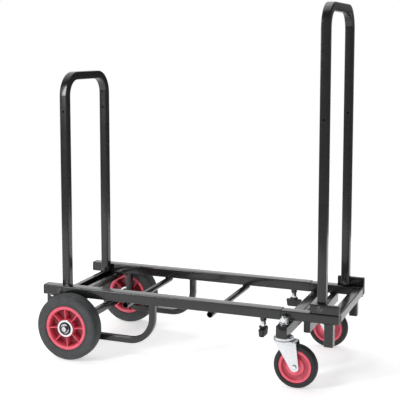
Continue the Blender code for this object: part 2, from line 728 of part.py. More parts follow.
# Clamp knobs -----------------------------------------------------------------
def make_clamp_knobs():
    """Screw and winged grip under each outer rail, which lock the sliding rail."""
    length, width, depth = KNOB_WING
    for side, sign in SIDES.items():
        place = Vector((from_rear(KNOB_FROM_REAR), sign * RAIL_Y, 0))
        tip = INNER_BOTTOM - GAP
        finish(rod("clamp_screw_" + side, KNOB_SCREW, tip - SCREW_BOTTOM, "z",
                   (place.x, place.y, (tip + SCREW_BOTTOM) / 2), 16), ZINC)
        wing = rounded_rectangle(length, width, 0.0085, 3)
        hub = circle(0.0125, 20)
        if side == "right":     # the two grips stand a quarter turn apart
            wing = [Vector((point.y, point.x)) for point in reversed(wing)]
        grip = extrusion("clamp_knob_" + side, [wing], depth, "z",
                         (place.x, place.y, KNOB_BOTTOM + depth / 2))
        collar = extrusion("collar", [hub], KNOB_TOP - KNOB_BOTTOM, "z",
                           (place.x, place.y, (KNOB_TOP + KNOB_BOTTOM) / 2))
        grip = combine(grip, collar, 'UNION')
        blind = (place.x, place.y, SCREW_BOTTOM - GAP + 0.015)
        cut(grip, rod("cutter", KNOB_SCREW + GAP, 0.030, "z", blind, 16))
        finish(grip, BLACK_PLASTIC)


clear_scene()
PARTS = new_collection("convertible_hand_truck")
CUTTERS = new_collection("cutters")

make_outer_rails()
make_crossbars()
make_axle()
make_side_loops()
make_gussets()
make_clamp_bosses()
make_rear_pivot_bolts()
make_inner_rails()
make_front_bars()
make_caster_beam()
make_handle_brackets()
make_feet()
make_kingpins()
make_handle("rear_handle", REAR_PIVOT, REAR_HANDLE_TOP, REAR_HANDLE_HALF)
make_handle_plugs("rear_handle", REAR_PIVOT, REAR_HANDLE_HALF)
make_handle("front_handle", FRONT_PIVOT, FRONT_HANDLE_TOP, FRONT_HANDLE_HALF)
make_handle_plugs("front_handle", FRONT_PIVOT, FRONT_HANDLE_HALF)
make_wheels()
make_casters()
make_clamp_knobs()
bpy.context.view_layer.update()
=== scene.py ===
"""Finished surface of a convertible hand truck: tubes, wheels, casters, clamps and bolts.

Every piece takes its place and its size from the boxes of the loaded frame's nodes.
Units are metres, +X runs from the rear wheels to the casters and +Z is up.
"""

import json
import math

import bmesh
import bpy
from mathutils import Matrix, Vector


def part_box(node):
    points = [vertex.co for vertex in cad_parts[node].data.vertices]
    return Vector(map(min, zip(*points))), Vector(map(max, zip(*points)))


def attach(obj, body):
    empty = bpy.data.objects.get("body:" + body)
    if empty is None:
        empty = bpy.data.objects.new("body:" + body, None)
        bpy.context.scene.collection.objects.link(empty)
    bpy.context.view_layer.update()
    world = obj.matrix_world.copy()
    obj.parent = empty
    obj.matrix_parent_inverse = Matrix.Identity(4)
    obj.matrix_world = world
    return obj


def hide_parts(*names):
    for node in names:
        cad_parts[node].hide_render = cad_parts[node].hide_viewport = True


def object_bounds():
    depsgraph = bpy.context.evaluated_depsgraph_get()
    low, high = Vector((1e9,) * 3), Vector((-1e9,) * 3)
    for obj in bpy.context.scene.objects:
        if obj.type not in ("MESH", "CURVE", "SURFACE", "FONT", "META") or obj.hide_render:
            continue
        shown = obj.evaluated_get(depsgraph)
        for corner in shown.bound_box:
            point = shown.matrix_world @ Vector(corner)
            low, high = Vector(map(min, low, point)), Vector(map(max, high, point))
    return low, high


bl_info = {
    "name": "Convertible hand truck",
    "version": (1, 0, 0),
    "blender": (4, 5, 0),
    "location": "View3D > Sidebar > Hand truck",
    "description": "Builds the finished surface of a telescoping, folding hand truck",
    "category": "Object",
}

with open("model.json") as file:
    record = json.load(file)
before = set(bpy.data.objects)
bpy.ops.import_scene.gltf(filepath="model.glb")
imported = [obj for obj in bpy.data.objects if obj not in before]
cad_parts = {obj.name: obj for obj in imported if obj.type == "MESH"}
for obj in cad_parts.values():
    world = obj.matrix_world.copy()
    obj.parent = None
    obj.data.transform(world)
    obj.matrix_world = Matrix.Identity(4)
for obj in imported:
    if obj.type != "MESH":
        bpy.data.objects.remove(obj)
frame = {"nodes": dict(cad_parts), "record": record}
CAD_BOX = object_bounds()
SIDES = {"right": -1.0, "left": 1.0}
MM = 0.001
ROD = 8.0 * MM              # radius of the wheel axle and of the caster stems
ROD_HOLE = 8.3 * MM         # radius of the holes that a rod passes through
HUB_BORE = 19.5 * MM        # radius of the bore of a rear wheel's hub
FORK_FACE = 19.6 * MM       # outer face of a caster fork, from its middle
SHARP = 32.0                # degrees between two faces that make an edge sharp
BALL_SHARP = 50.0           # the same, on the coarse balls and weld ripples
TYRE_SHARP = 40.0           # the same, on the tyres
POLE = 1e-7                 # a smaller lathe radius is a point on the axis


# Node and colour helpers -----------------------------------------------------
def linear(code):
    """Linear RGBA of an sRGB hex colour."""
    parts = [int(code[i:i + 2], 16) / 255 for i in (1, 3, 5)]
    return (*[c / 12.92 if c <= 0.04045 else ((c + 0.055) / 1.055) ** 2.4 for c in parts], 1.0)


def add_node(tree, kind, inputs=None, **settings):
    """A node with its settings; each input is a value or another node's socket."""
    made = tree.nodes.new(kind)
    for name, value in settings.items():
        setattr(made, name, value)
    for name, value in (inputs or {}).items():
        if isinstance(value, bpy.types.NodeSocket):
            tree.links.new(value, made.inputs[name])
        else:
            made.inputs[name].default_value = value
    return made


def start_material(name):
    """An empty material, with its tree and its object coordinates."""
    found = bpy.data.materials.new(name)
    found.use_nodes = True
    tree = found.node_tree
    tree.nodes.clear()
    place = add_node(tree, "ShaderNodeTexCoord").outputs["Object"]
    return found, tree, place


def end_material(tree, **inputs):
    """The surface shader, its inputs named with underscores for spaces."""
    named = {name.replace("_", " "): value for name, value in inputs.items()}
    shader = add_node(tree, "ShaderNodeBsdfPrincipled", named)
    add_node(tree, "ShaderNodeOutputMaterial", {"Surface": shader.outputs["BSDF"]})


def noise(tree, place, size, detail):
    """Noise whose lumps are about this many metres across."""
    inputs = {"Vector": place, "Scale": 1 / size, "Detail": detail}
    return add_node(tree, "ShaderNodeTexNoise", inputs).outputs["Fac"]


def spread(tree, value, low, high, start=0.3, end=0.7):
    """Carry a noise value over to the range from low to high."""
    inputs = {"Value": value, "From Min": start, "From Max": end, "To Min": low, "To Max": high}
    return add_node(tree, "ShaderNodeMapRange", inputs).outputs["Result"]


def between(tree, factor, first, second):
    """Mix two colours, each a hex code or a socket."""
    mixer = add_node(tree, "ShaderNodeMix", data_type='RGBA')
    for slot, value in ((6, first), (7, second)):
        if isinstance(value, str):
            mixer.inputs[slot].default_value = linear(value)
        else:
            tree.links.new(value, mixer.inputs[slot])
    tree.links.new(factor, mixer.inputs[0])
    return mixer.outputs[2]


# Materials -------------------------------------------------------------------
def clouded(name, tones, cloud, rough, grain=None, over=None, **inputs):
    """A material of two cloudy tones with an uneven roughness and a fine grain.

    Sizes are in millimetres. cloud is the clouds' size and detail, rough is the patches' size and
    the roughness range, and grain is its size, detail, depth and strength. over changes the colour.
    """
    made, tree, place = start_material(name)
    size, detail = cloud
    body = between(tree, spread(tree, noise(tree, place, size * MM, detail), 0.0, 1.0), *tones)
    if over:
        body = over(tree, place, body)
    size, low, high = rough
    inputs["Roughness"] = spread(tree, noise(tree, place, size * MM, 3.0), low, high)
    if grain:
        size, detail, depth, strength = grain
        height = noise(tree, place, size * MM, detail)
        raised = {"Height": height, "Distance": depth * MM, "Strength": strength}
        inputs["Normal"] = add_node(tree, "ShaderNodeBump", raised).outputs["Normal"]
    end_material(tree, Base_Color=body, **inputs)
    return made


def dust_and_top_sheen(tree, place, body):
    """Lighter, patchy tone on the faces that look up: partly a dusty film, partly a painted sheen that stands
    in for the brighter light on the tops.
    """
    normal = add_node(tree, "ShaderNodeNewGeometry").outputs["Normal"]
    up = add_node(tree, "ShaderNodeSeparateXYZ", {"Vector": normal}).outputs["Z"]
    facing = spread(tree, up, 0.0, 0.05, 0.6, 1.0)
    patch = spread(tree, noise(tree, place, 18 * MM, 4.0), 0.4, 1.0)
    dust_and_sheen = add_node(tree, "ShaderNodeMath", {0: facing, 1: patch}, operation='MULTIPLY').outputs[0]
    # Painted sheen and dust: faces that look up are mixed towards a lighter grey, in patches.
    return between(tree, dust_and_sheen, body, "#5c5d5f")


def powder_coat(colours):
    """Black polyester powder coat: satin, with a fine orange peel and a patchy lighter tone on the tops,
    partly dusty and partly painted sheen.

    The real peel is about 1.5 mm across; it is drawn at 2.5 mm so that it shows.
    """
    return clouded("satin_black_powder_coat", (colours.coat_dark, colours.coat_light), (70, 3.0),
                   (25, 0.23, 0.28), (2.5, 1.0, 0.006, 0.4), dust_and_top_sheen, Specular_IOR_Level=0.42,
                   Coat_Weight=0.4, Coat_Roughness=0.10)


def zinc_plate(colours):
    """Bright zinc plate on pressed steel: clear, slightly cloudy mirror."""
    return clouded("bright_zinc_plate", (colours.zinc, "#d8dadd"), (9, 3.0), (6, 0.22, 0.27),
                   (1.2, 2.0, 0.002, 0.3), Metallic=1.0)


def black_oxide(_colours):
    """Black-oxide steel of the pivot bolts: dark, oily and half glossy."""
    return clouded("black_oxide_steel", ("#515256", "#6c6d72"), (3, 3.0), (2, 0.25, 0.42), Metallic=1.0)


def wheel_rubber(colours):
    """Moulded grey-black rubber: matt, with a fine mould grain and a dusty bloom."""
    return clouded("moulded_tyre_rubber", (colours.tyre, "#464849"), (30, 4.0), (8, 0.62, 0.80),
                   (0.8, 2.0, 0.05, 0.5))


def caster_rubber(colours):
    """Harder, darker rubber of the casters."""
    return clouded("hard_caster_rubber", (colours.caster_tyre, "#202222"), (15, 4.0), (6, 0.48, 0.66),
                   (0.8, 2.0, 0.03, 0.4))


def red_plastic(colours):
    """Moulded red polypropylene: semi-gloss, with faint flow marks; darker deep in the pockets, which is a
    painted shade.
    """
    def shaded(tree, _place, body):
        recess = add_node(tree, "ShaderNodeAttribute", attribute_name="recess").outputs["Fac"]
        # Painted shade: the red turns darker where the recess mask is high, deep in the pockets.
        return between(tree, recess, body, colours.red_painted_shade)
    return clouded("moulded_red_polypropylene", (colours.red, colours.red_deep), (14, 3.0),
                   (5, 0.34, 0.46), (0.7, 2.0, 0.02, 0.4), shaded, Coat_Weight=0.15, Coat_Roughness=0.25)


def black_nylon(_colours):
    """Moulded black nylon of the knobs and plugs, with a spark-eroded grain."""
    return clouded("moulded_black_nylon", ("#1c1d1e", "#262728"), (6, 3.0), (3, 0.44, 0.58),
                   (0.9, 3.0, 0.06, 0.6))


MAKERS = {
    "powder_coat": powder_coat,
    "zinc": zinc_plate,
    "dark_steel": black_oxide,
    "tyre_rubber": wheel_rubber,
    "caster_rubber": caster_rubber,
    "red_plastic": red_plastic,
    "black_plastic": black_nylon,
}
MADE = {}


def finish_for(slot):
    """The material of a record slot, made once."""
    if slot not in MADE:
        MADE[slot] = MAKERS[slot](bpy.context.scene.truck_colours)
    return MADE[slot]


# Places of the frame's nodes -------------------------------------------------
def middle_of(node):
    """The centre of a node's box."""
    low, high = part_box(node)
    return (low + high) / 2


def turned_size(node, axis="y"):
    """Centre, radius and half length of a node that is round about an axis."""
    low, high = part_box(node)
    along = "xyz".index(axis)
    across = 0 if axis == "z" else 2
    return (low + high) / 2, (high[across] - low[across]) / 2, (high[along] - low[along]) / 2


def y_reach(node):
    """Least and greatest distance of a node's box from the middle plane."""
    return sorted(abs(corner.y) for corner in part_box(node))


def body_of(node):
    """The body that a frame node rides on."""
    for body, members in frame["record"]["behaviour"]["bodies"].items():
        if node in members:
            return body
    raise KeyError(node)


# Outlines --------------------------------------------------------------------
def rounded_section(width, height, corner, steps=5):
    """Points of a rounded rectangle centred on zero, anticlockwise."""
    points = []
    for turn, (across, up) in enumerate(((1, 1), (-1, 1), (-1, -1), (1, -1))):
        for step in range(steps + 1):
            angle = math.radians(90 * (turn + step / steps))
            points.append((across * (width / 2 - corner) + corner * math.cos(angle),
                           up * (height / 2 - corner) + corner * math.sin(angle)))
    return points


def ring_points(radius, count, middle, start=0.0, sweep=360.0):
    """Points on a circle, or on an arc of it, in a plane; angles in degrees."""
    last = count if sweep == 360.0 else count - 1
    angles = [math.radians(start + sweep * i / last) for i in range(count)]
    return [(middle[0] + radius * math.cos(a), middle[1] + radius * math.sin(a)) for a in angles]


def profile(points, radius=0.0, along=0.0):
    """Lathe points given in millimetres from a radius and a place along the axis in metres."""
    return [(radius + r * MM, along + a * MM) for r, a in points]


def two_faced(face):
    """A lathe outline from its half on one side of the middle."""
    return face + [(r, -a) for r, a in reversed(face)]


def at(axis, first, second, along):
    """A point from its two coordinates across an axis and the one along it."""
    order = {"x": (along, first, second), "y": (first, along, second), "z": (first, second, along)}
    return Vector(order[axis])


def across_axis(axis):
    """Indices of the two coordinates across an axis."""
    return [i for i in range(3) if i != "xyz".index(axis)]


# Shape helpers ---------------------------------------------------------------
def skin(work, rings, closed=False):
    """Faces between neighbouring rings; a ring of one point is a pole."""
    rows = [[work.verts.new(point) for point in ring] for ring in rings]
    pairs = list(zip(rows, rows[1:]))
    if closed:
        pairs.append((rows[-1], rows[0]))
    for low, high in pairs:
        count = max(len(low), len(high))
        for i in range(count):
            j = (i + 1) % count
            corners = [low[i % len(low)], low[j % len(low)], high[j % len(high)], high[i % len(high)]]
            work.faces.new(list(dict.fromkeys(corners)))
    return rows


def capped(work, rings):
    """Rings joined by faces, with a face across the first and the last; returns those two."""
    rows = skin(work, rings)
    return [work.faces.new(row) for row in (rows[0], rows[-1])]


def sweep_tube(work, path, normal, outer, inner):
    """A hollow section swept along a flat path."""
    def rings(section):
        made = []
        for i, point in enumerate(path):
            before = (point - path[i - 1]).normalized() if i else (path[1] - point).normalized()
            after = (path[i + 1] - point).normalized() if i < len(path) - 1 else before
            along = (before + after).normalized()
            across = normal.cross(along) / along.dot(before)
            made.append([point + normal * a + across * b for a, b in section])
        return made
    skin(work, rings(outer) + rings(inner)[::-1], closed=True)


def lathe(work, outline, axis, centre, steps, closed=False, way=1):
    """Turn (radius, distance along the axis) points about an axis through the centre."""
    index = "xyz".index(axis)
    across = [centre[i] for i in across_axis(axis)]
    rings = []
    for radius, along in outline:
        place = centre[index] + way * along
        circle = ring_points(radius, steps, across) if radius > POLE else [across]
        rings.append([at(axis, a, b, place) for a, b in circle])
    skin(work, rings, closed)


def merge(work, part):
    """Move one working mesh into another."""
    bmesh.ops.recalc_face_normals(part, faces=part.faces)
    mesh = to_mesh("part", part)
    work.from_mesh(mesh)
    bpy.data.meshes.remove(mesh)


def plate(work, outline, axis, middle, thickness, bevel=0.0, steps=2):
    """A flat outline given a thickness along an axis, with bevelled rims."""
    part = bmesh.new()
    caps = capped(part, [[at(axis, a, b, middle + sign * thickness / 2) for a, b in outline]
                         for sign in (-1, 1)])
    if bevel:
        bmesh.ops.bevel(part, geom=[edge for cap in caps for edge in cap.edges], offset=bevel,
                        segments=steps, profile=0.5, affect='EDGES', clamp_overlap=True)
    merge(work, part)


def bar(work, axis, low, high, corner, bevel=0.0, steps=2, facets=5):
    """A solid bar that fills a box, with corners rounded around an axis."""
    along = "xyz".index(axis)
    size = [high[i] - low[i] for i in across_axis(axis)]
    middle = [(high[i] + low[i]) / 2 for i in across_axis(axis)]
    outline = [(middle[0] + a, middle[1] + b) for a, b in rounded_section(*size, corner, facets)]
    plate(work, outline, axis, (low[along] + high[along]) / 2, high[along] - low[along], bevel, steps)


def straight_tube(work, low, high, axis, corner, wall):
    """A hollow square tube that fills a box and runs along an axis."""
    index = "xyz".index(axis)
    size = [high[i] - low[i] for i in across_axis(axis)]
    middle = [(low[i] + high[i]) / 2 for i in across_axis(axis)]
    chamfer = 0.3 * MM
    inner_corner = max(corner - wall, 0.6 * MM)
    start, end = low[index], high[index]
    stations = [(start, chamfer, corner - chamfer), (start + chamfer, 0.0, corner),
                (end - chamfer, 0.0, corner), (end, chamfer, corner - chamfer),
                (end, wall, inner_corner), (start, wall, inner_corner)]
    rings = []
    for along, less, rounding in stations:
        section = rounded_section(size[0] - 2 * less, size[1] - 2 * less, rounding)
        rings.append([at(axis, middle[0] + a, middle[1] + b, along) for a, b in section])
    skin(work, rings, closed=True)


def thread(work, radius, depth, low, high, place):
    """A screw thread along Z: a rod whose radius follows a helix."""
    steps = 20
    pitch = 1.75 * MM
    rows = max(int((high - low) / pitch * 4), 2)
    rings = []
    for row in range(rows + 1):
        height = low + (high - low) * row / rows
        ring = []
        for i in range(steps):
            turn = (height / pitch - i / steps) % 1.0
            reach = radius - depth * abs(2 * turn - 1)
            angle = 2 * math.pi * i / steps
            ring.append(at("z", place.x + reach * math.cos(angle), place.y + reach * math.sin(angle), height))
        rings.append(ring)
    capped(work, rings)


def filleted(corners, radii, steps):
    """Straight runs joined by arcs, as a list of points."""
    path = [corners[0]]
    for before, corner, after, radius in zip(corners, corners[1:], corners[2:], radii):
        way_in = (before - corner).normalized()
        way_out = (after - corner).normalized()
        half = way_in.angle(way_out) / 2
        centre = corner + (way_in + way_out).normalized() * radius / math.sin(half)
        start = corner + way_in * radius / math.tan(half) - centre
        end = corner + way_out * radius / math.tan(half) - centre
        turn = start.angle(end)
        for step in range(steps + 1):
            left, done = (1 - step / steps) * turn, step / steps * turn
            path.append(centre + (start * math.sin(left) + end * math.sin(done)) / math.sin(turn))
    path.append(corners[-1])
    return path


def hexagon_nut(work, axis, middle, centre, across, thickness, hole):
    """A hexagon nut with chamfered corners and a real hole."""
    flat = math.radians(30)
    reach = across / 2 / math.cos(flat)
    angles = [2 * math.pi * i / 24 for i in range(24)]
    hexagon = [math.cos(flat) / math.cos(angle % (2 * flat) - flat) for angle in angles]

    def ring(height, radii):
        return [at(axis, middle[0] + r * math.cos(a), middle[1] + r * math.sin(a),
                   centre + height * thickness / 2) for a, r in zip(angles, radii)]
    rings = [ring(height, [reach * min(share, cut) for share in hexagon])
             for height, cut in ((-1, 0.94), (-0.8, 1.0), (0.8, 1.0), (1, 0.94))]
    rings += [ring(height, [hole] * len(angles)) for height in (1, -1)]
    part = bmesh.new()
    skin(part, rings, closed=True)
    merge(work, part)


# Finished pieces -------------------------------------------------------------
def to_mesh(name, work):
    """A mesh that takes over a working mesh."""
    mesh = bpy.data.meshes.new(name)
    work.to_mesh(mesh)
    work.free()
    return mesh


def in_scene(name, data):
    """A new object of the scene, at the origin."""
    made = bpy.data.objects.new(name, data)
    bpy.context.scene.collection.objects.link(made)
    return made


def shade(item, angle=SHARP):
    """Smooth shading, with edges sharper than this many degrees kept."""
    item.data.shade_smooth()
    item.data.set_sharp_from_angle(angle=math.radians(angle))


def to_object(name, work, slot, angle=SHARP):
    """A shaded mesh object at the origin."""
    bmesh.ops.remove_doubles(work, verts=work.verts, dist=1e-6)
    bmesh.ops.recalc_face_normals(work, faces=work.faces)
    made = in_scene(name, to_mesh(name, work))
    shade(made, angle)
    made.data.materials.append(finish_for(slot))
    return made


def fit(piece, body, slot, *nodes):
    """Fix a finished piece to its body and hide the nodes it stands for; the slot is not used."""
    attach(piece, body)
    if nodes:
        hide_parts(*nodes)


def finished(name, work, slot, body, *nodes, angle=SHARP):
    """Make a working mesh a finished piece of a body."""
    fit(to_object(name, work, slot, angle), body, slot, *nodes)


def turned(name, outline, axis, centre, steps, slot, body, *nodes, closed=True, way=1, angle=SHARP):
    """A finished piece turned from one outline."""
    work = bmesh.new()
    lathe(work, outline, axis, centre, steps, closed, way)
    finished(name, work, slot, body, *nodes, angle=angle)


def plain(item):
    """The object's modifiers applied: its evaluated mesh takes the place of its own."""
    bpy.context.view_layer.update()
    depsgraph = bpy.context.evaluated_depsgraph_get()
    mesh = bpy.data.meshes.new_from_object(item.evaluated_get(depsgraph))
    item.modifiers.clear()
    item.data = mesh


def cut_away(item, work):
    """Cut a working shape out of a finished piece."""
    bmesh.ops.recalc_face_normals(work, faces=work.faces)
    tool = in_scene("tool", to_mesh("tool", work))
    modifier = item.modifiers.new("cut", 'BOOLEAN')
    modifier.object = tool
    modifier.operation = 'DIFFERENCE'
    plain(item)
    bpy.data.objects.remove(tool)
    shade(item)


def mark_recess_shade(item, across, face, floor):
    """Store how deep each point lies below a wheel's face, from none to full, as the mask of the painted
    shade in the red.
    """
    marks = item.data.attributes.new("recess", 'FLOAT', 'POINT')
    for vertex, mark in zip(item.data.vertices, marks.data):
        share = (face - abs(vertex.co.y - across)) / (face - floor)
        mark.value = min(max(share, 0.0), 1.0)


# Geometry Nodes --------------------------------------------------------------
def new_tree(name, inputs):
    """A geometry tree with its named inputs; returns the tree and its input node."""
    tree = bpy.data.node_groups.new(name, 'GeometryNodeTree')
    for way in ('INPUT', 'OUTPUT'):
        tree.interface.new_socket("Geometry", in_out=way, socket_type='NodeSocketGeometry')
    for label, kind, default in inputs:
        socket = tree.interface.new_socket(label, in_out='INPUT', socket_type=kind)
        if default is not None:
            socket.default_value = default
    return tree, add_node(tree, "NodeGroupInput")


def end_tree(tree, geometry, material):
    """Realize the instances, shade them and give them their material."""
    real = add_node(tree, "GeometryNodeRealizeInstances", {"Geometry": geometry})
    coated = add_node(tree, "GeometryNodeSetMaterial", {"Geometry": real.outputs[0], "Material": material})
    add_node(tree, "NodeGroupOutput", {"Geometry": coated.outputs[0]})
    return tree


def weld_tree():
    """Overlapping ripples of weld metal along the edges of a mesh."""
    sizes = [("Ripple pitch", 'NodeSocketFloat', 0.0014), ("Bead radius", 'NodeSocketFloat', 0.0019),
             ("Seed", 'NodeSocketInt', 7)]
    tree, start = new_tree("weld_bead", sizes)
    line = add_node(tree, "GeometryNodeMeshToCurve", {"Mesh": start.outputs["Geometry"]})
    points = add_node(tree, "GeometryNodeResampleCurve", {
        "Curve": line.outputs[0], "Length": start.outputs["Ripple pitch"]}, mode='LENGTH')
    drop = add_node(tree, "GeometryNodeMeshIcoSphere", {
        "Radius": start.outputs["Bead radius"], "Subdivisions": 2})
    tangent = add_node(tree, "GeometryNodeInputTangent")
    turn = add_node(tree, "FunctionNodeAlignRotationToVector", {"Vector": tangent.outputs[0]}, axis='X')
    size = add_node(tree, "FunctionNodeRandomValue", {"Seed": start.outputs["Seed"]},
                    data_type='FLOAT_VECTOR')
    size.inputs[0].default_value = (0.55, 0.9, 0.9)
    size.inputs[1].default_value = (0.70, 1.1, 1.1)
    placed = add_node(tree, "GeometryNodeInstanceOnPoints", {
        "Points": points.outputs[0], "Instance": drop.outputs[0], "Rotation": turn.outputs[0],
        "Scale": size.outputs[0]})
    return end_tree(tree, placed.outputs[0], finish_for("powder_coat"))


def round_tree(name, slot, shape):
    """Copies of one shape, a rib or a ball, set evenly around a circle."""
    sizes = [("Count", 'NodeSocketInt', 8), ("Radius", 'NodeSocketFloat', 0.04),
             ("Size", 'NodeSocketVector', None), ("Tilt", 'NodeSocketVector', None),
             ("Centre", 'NodeSocketVector', None)]
    tree, start = new_tree(name, sizes)
    ring = add_node(tree, "GeometryNodeMeshCircle", {
        "Vertices": start.outputs["Count"], "Radius": start.outputs["Radius"]})
    if shape == "rib":
        piece = add_node(tree, "GeometryNodeMeshCube", {"Size": start.outputs["Size"]}).outputs["Mesh"]
    else:
        ball = add_node(tree, "GeometryNodeMeshIcoSphere", {"Radius": 1.0, "Subdivisions": 2})
        piece = add_node(tree, "GeometryNodeTransform", {
            "Geometry": ball.outputs["Mesh"], "Scale": start.outputs["Size"]}).outputs[0]
    where = add_node(tree, "GeometryNodeInputPosition")
    turn = add_node(tree, "FunctionNodeAlignRotationToVector", {"Vector": where.outputs[0]}, axis='X')
    placed = add_node(tree, "GeometryNodeInstanceOnPoints", {
        "Points": ring.outputs["Mesh"], "Instance": piece, "Rotation": turn.outputs[0]})
    moved = add_node(tree, "GeometryNodeTransform", {
        "Geometry": placed.outputs[0], "Rotation": start.outputs["Tilt"],
        "Translation": start.outputs["Centre"]})
    return end_tree(tree, moved.outputs[0], finish_for(slot))


def grow(name, tree, values, mesh=None):
    """A plain mesh object made by a geometry tree with these named inputs."""
    item = in_scene(name, mesh or bpy.data.meshes.new(name))
    modifier = item.modifiers.new("grow", 'NODES')
    modifier.node_group = tree
    for socket in tree.interface.items_tree:
        if socket.in_out == 'INPUT' and socket.name in values:
            modifier[socket.identifier] = values[socket.name]
    plain(item)
    return item


def add_to(main, other):
    """Move the mesh of another object into the main one."""
    work = bmesh.new()
    for item in (main, other):
        work.from_mesh(item.data)
    work.to_mesh(main.data)
    work.free()
    shade(main)
    bpy.data.objects.remove(other)


# Settings --------------------------------------------------------------------
def colour(name, text, default):
    """A setting for an sRGB colour."""
    return bpy.props.StringProperty(name=name, description=text + " (sRGB hex)", default=default)


def length(name, text, default):
    """A setting for a length in metres."""
    return bpy.props.FloatProperty(name=name, description=text, default=default, unit='LENGTH')


def amount(name, text, default, **kind):
    """A setting for a plain number or an angle."""
    return bpy.props.FloatProperty(name=name, description=text, default=default, **kind)


def count(name, text, default, least):
    """A setting for a whole number."""
    return bpy.props.IntProperty(name=name, description=text, default=default, min=least)


class TruckColours(bpy.types.PropertyGroup):
    coat_dark: colour("Coat, dark", "Darker tone of the powder coat", "#121314")
    coat_light: colour("Coat, light", "Lighter tone of the powder coat", "#191a1b")
    zinc: colour("Zinc", "Zinc plate", "#e0e2e5")
    tyre: colour("Wheel tyre", "Rubber of the large wheels", "#383a3b")
    caster_tyre: colour("Caster tyre", "Rubber of the casters", "#161818")
    red: colour("Red", "Red plastic of the rims", "#ee6579")
    red_deep: colour("Red, deep", "Deeper tone of the red plastic", "#df5268")
    # Painted shade: the red drawn deep in the rims' pockets, in place of the shadow there.
    red_painted_shade: colour("Red, recess", "Red plastic deep in a pocket", "#8c2435")


class TruckTubes(bpy.types.PropertyGroup):
    corner: length("Corner", "Outside corner radius of the square tubes", 0.003)
    wall: length("Wall", "Wall of the tubes", 0.0015)
    handle_bend: length("Handle bend", "Centre-line radius of the handle bends", 0.062)
    loop_bend: length("Loop bend", "Centre-line radius of a loop's front bend", 0.076)
    loop_rear_bend: length("Loop rear bend", "Centre-line radius of a loop's rear bend", 0.030)
    bend_steps: count("Bend steps", "Facets in each bend", 20, 4)
    hole: length("Hole", "Radius of the holes in the handles", 0.003)
    hole_height: length("Hole height", "Height of the holes in the handles", 0.755)


class TruckWheels(bpy.types.PropertyGroup):
    spokes: count("Spokes", "Ribs in each side of a rear wheel", 8, 3)
    rib: length("Rib", "Thickness of a spoke rib", 0.0026)
    steps: count("Steps", "Facets around a tyre", 96, 24)


class TruckStage(bpy.types.PropertyGroup):
    lens: amount("Lens", "Focal length in millimetres", 82.88)
    eye: bpy.props.FloatVectorProperty(name="Eye", description="Place of the camera",
                                       subtype='TRANSLATION', default=(1.0195, -2.6285, 0.9551))
    yaw: amount("Yaw", "Turn of the camera to the left", 0.3745, subtype='ANGLE')
    pitch: amount("Pitch", "Tilt of the camera below the horizon", 0.1053, subtype='ANGLE')
    shift: amount("Shift", "Vertical lens shift", -0.14)
    front_light: amount("Front light", "Brightness of the studio in front", 0.34)
    floor_glow: amount("Floor glow", "Light that the lit floor gives off", 0.50)
    floor: colour("Floor", "Colour of the floor", "#f4f4f4")


# Operators -------------------------------------------------------------------
class TRUCK_OT_rails(bpy.types.Operator):
    """Make the straight square tubes of both frames, with their plugs"""
    bl_idname = "truck.rails"
    bl_label = "Rails and square tubes"

    def execute(self, context):
        tubes = context.scene.truck_tubes
        straight = [("outer_rail_right", "x"), ("outer_rail_left", "x"), ("inner_rail_right", "x"),
                    ("inner_rail_left", "x"), ("end_bar", "y"), ("lower_crossbar", "y"), ("axle_beam", "y"),
                    ("handle_bracket_right", "x"), ("handle_bracket_left", "x"), ("foot_right", "z"),
                    ("foot_left", "z")]
        for node, axis in straight:
            low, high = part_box(node)
            work = bmesh.new()
            corner = tubes.corner if node != "axle_beam" else 2 * MM
            straight_tube(work, low, high, axis, corner, tubes.wall)
            finished(node + "_finished", work, "powder_coat", body_of(node), node)
        self.caster_beam(tubes)
        self.rail_plugs()
        self.tube_plugs()
        return {'FINISHED'}

    def caster_beam(self, tubes):
        """Closed beam with a pad under each rail."""
        low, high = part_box("caster_beam")
        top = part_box("stem_nut_right")[0].z - 0.3 * MM
        work = bmesh.new()
        bar(work, "y", low, (high.x, high.y, top), tubes.corner, 0.5 * MM)
        middle = (low.x + high.x) / 2
        half = 12 * MM
        for sign in SIDES.values():
            rail = middle_of("outer_rail_left").y * sign
            bar(work, "z", (middle - half, rail - half, top), (middle + half, rail + half, high.z), 2 * MM,
                facets=2)
        finished("caster_beam_finished", work, "powder_coat", "front_frame", "caster_beam")

    def rail_plugs(self):
        """Moulded end cap with rounded edges, and its plug, in each outer rail."""
        inside = 1.8 * MM
        for side in SIDES:
            node = "outer_rail_plug_" + side
            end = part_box(node)[0].x
            low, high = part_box("outer_rail_" + side)
            work = bmesh.new()
            bar(work, "x", (end, low.y, low.z), (low.x - 0.3 * MM, high.y, high.z), 3 * MM, 1 * MM, 3)
            bar(work, "x", (end + 2 * MM, low.y + inside, low.z + inside),
                (end + 18 * MM, high.y - inside, high.z - inside), 1.5 * MM)
            finished("rail_plug_" + side, work, "black_plastic", "rear_frame", node)

    def tube_plugs(self):
        """Plugs of the feet, inner rails, handle brackets and lower crossbar."""
        for side, sign in SIDES.items():
            work = bmesh.new()
            for node, axis, end in (("foot_" + side, "z", 0), ("inner_rail_" + side, "x", 1),
                                    ("handle_bracket_" + side, "x", 1), ("handle_bracket_" + side, "x", 0),
                                    ("lower_crossbar", "y", int(sign > 0))):
                along = "xyz".index(axis)
                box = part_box(node)
                inside = Vector((1.7, 1.7, 1.7)) * MM
                low, high = box[0] + inside, box[1] - inside
                inward = 1 - 2 * end
                faces = [box[end][along] + inward * depth * MM for depth in (0.3, 2.9)]
                low[along], high[along] = sorted(faces)
                bar(work, axis, low, high, 1.4 * MM, 0.6 * MM)
            finished("tube_plugs_" + side, work, "black_plastic", "front_frame")


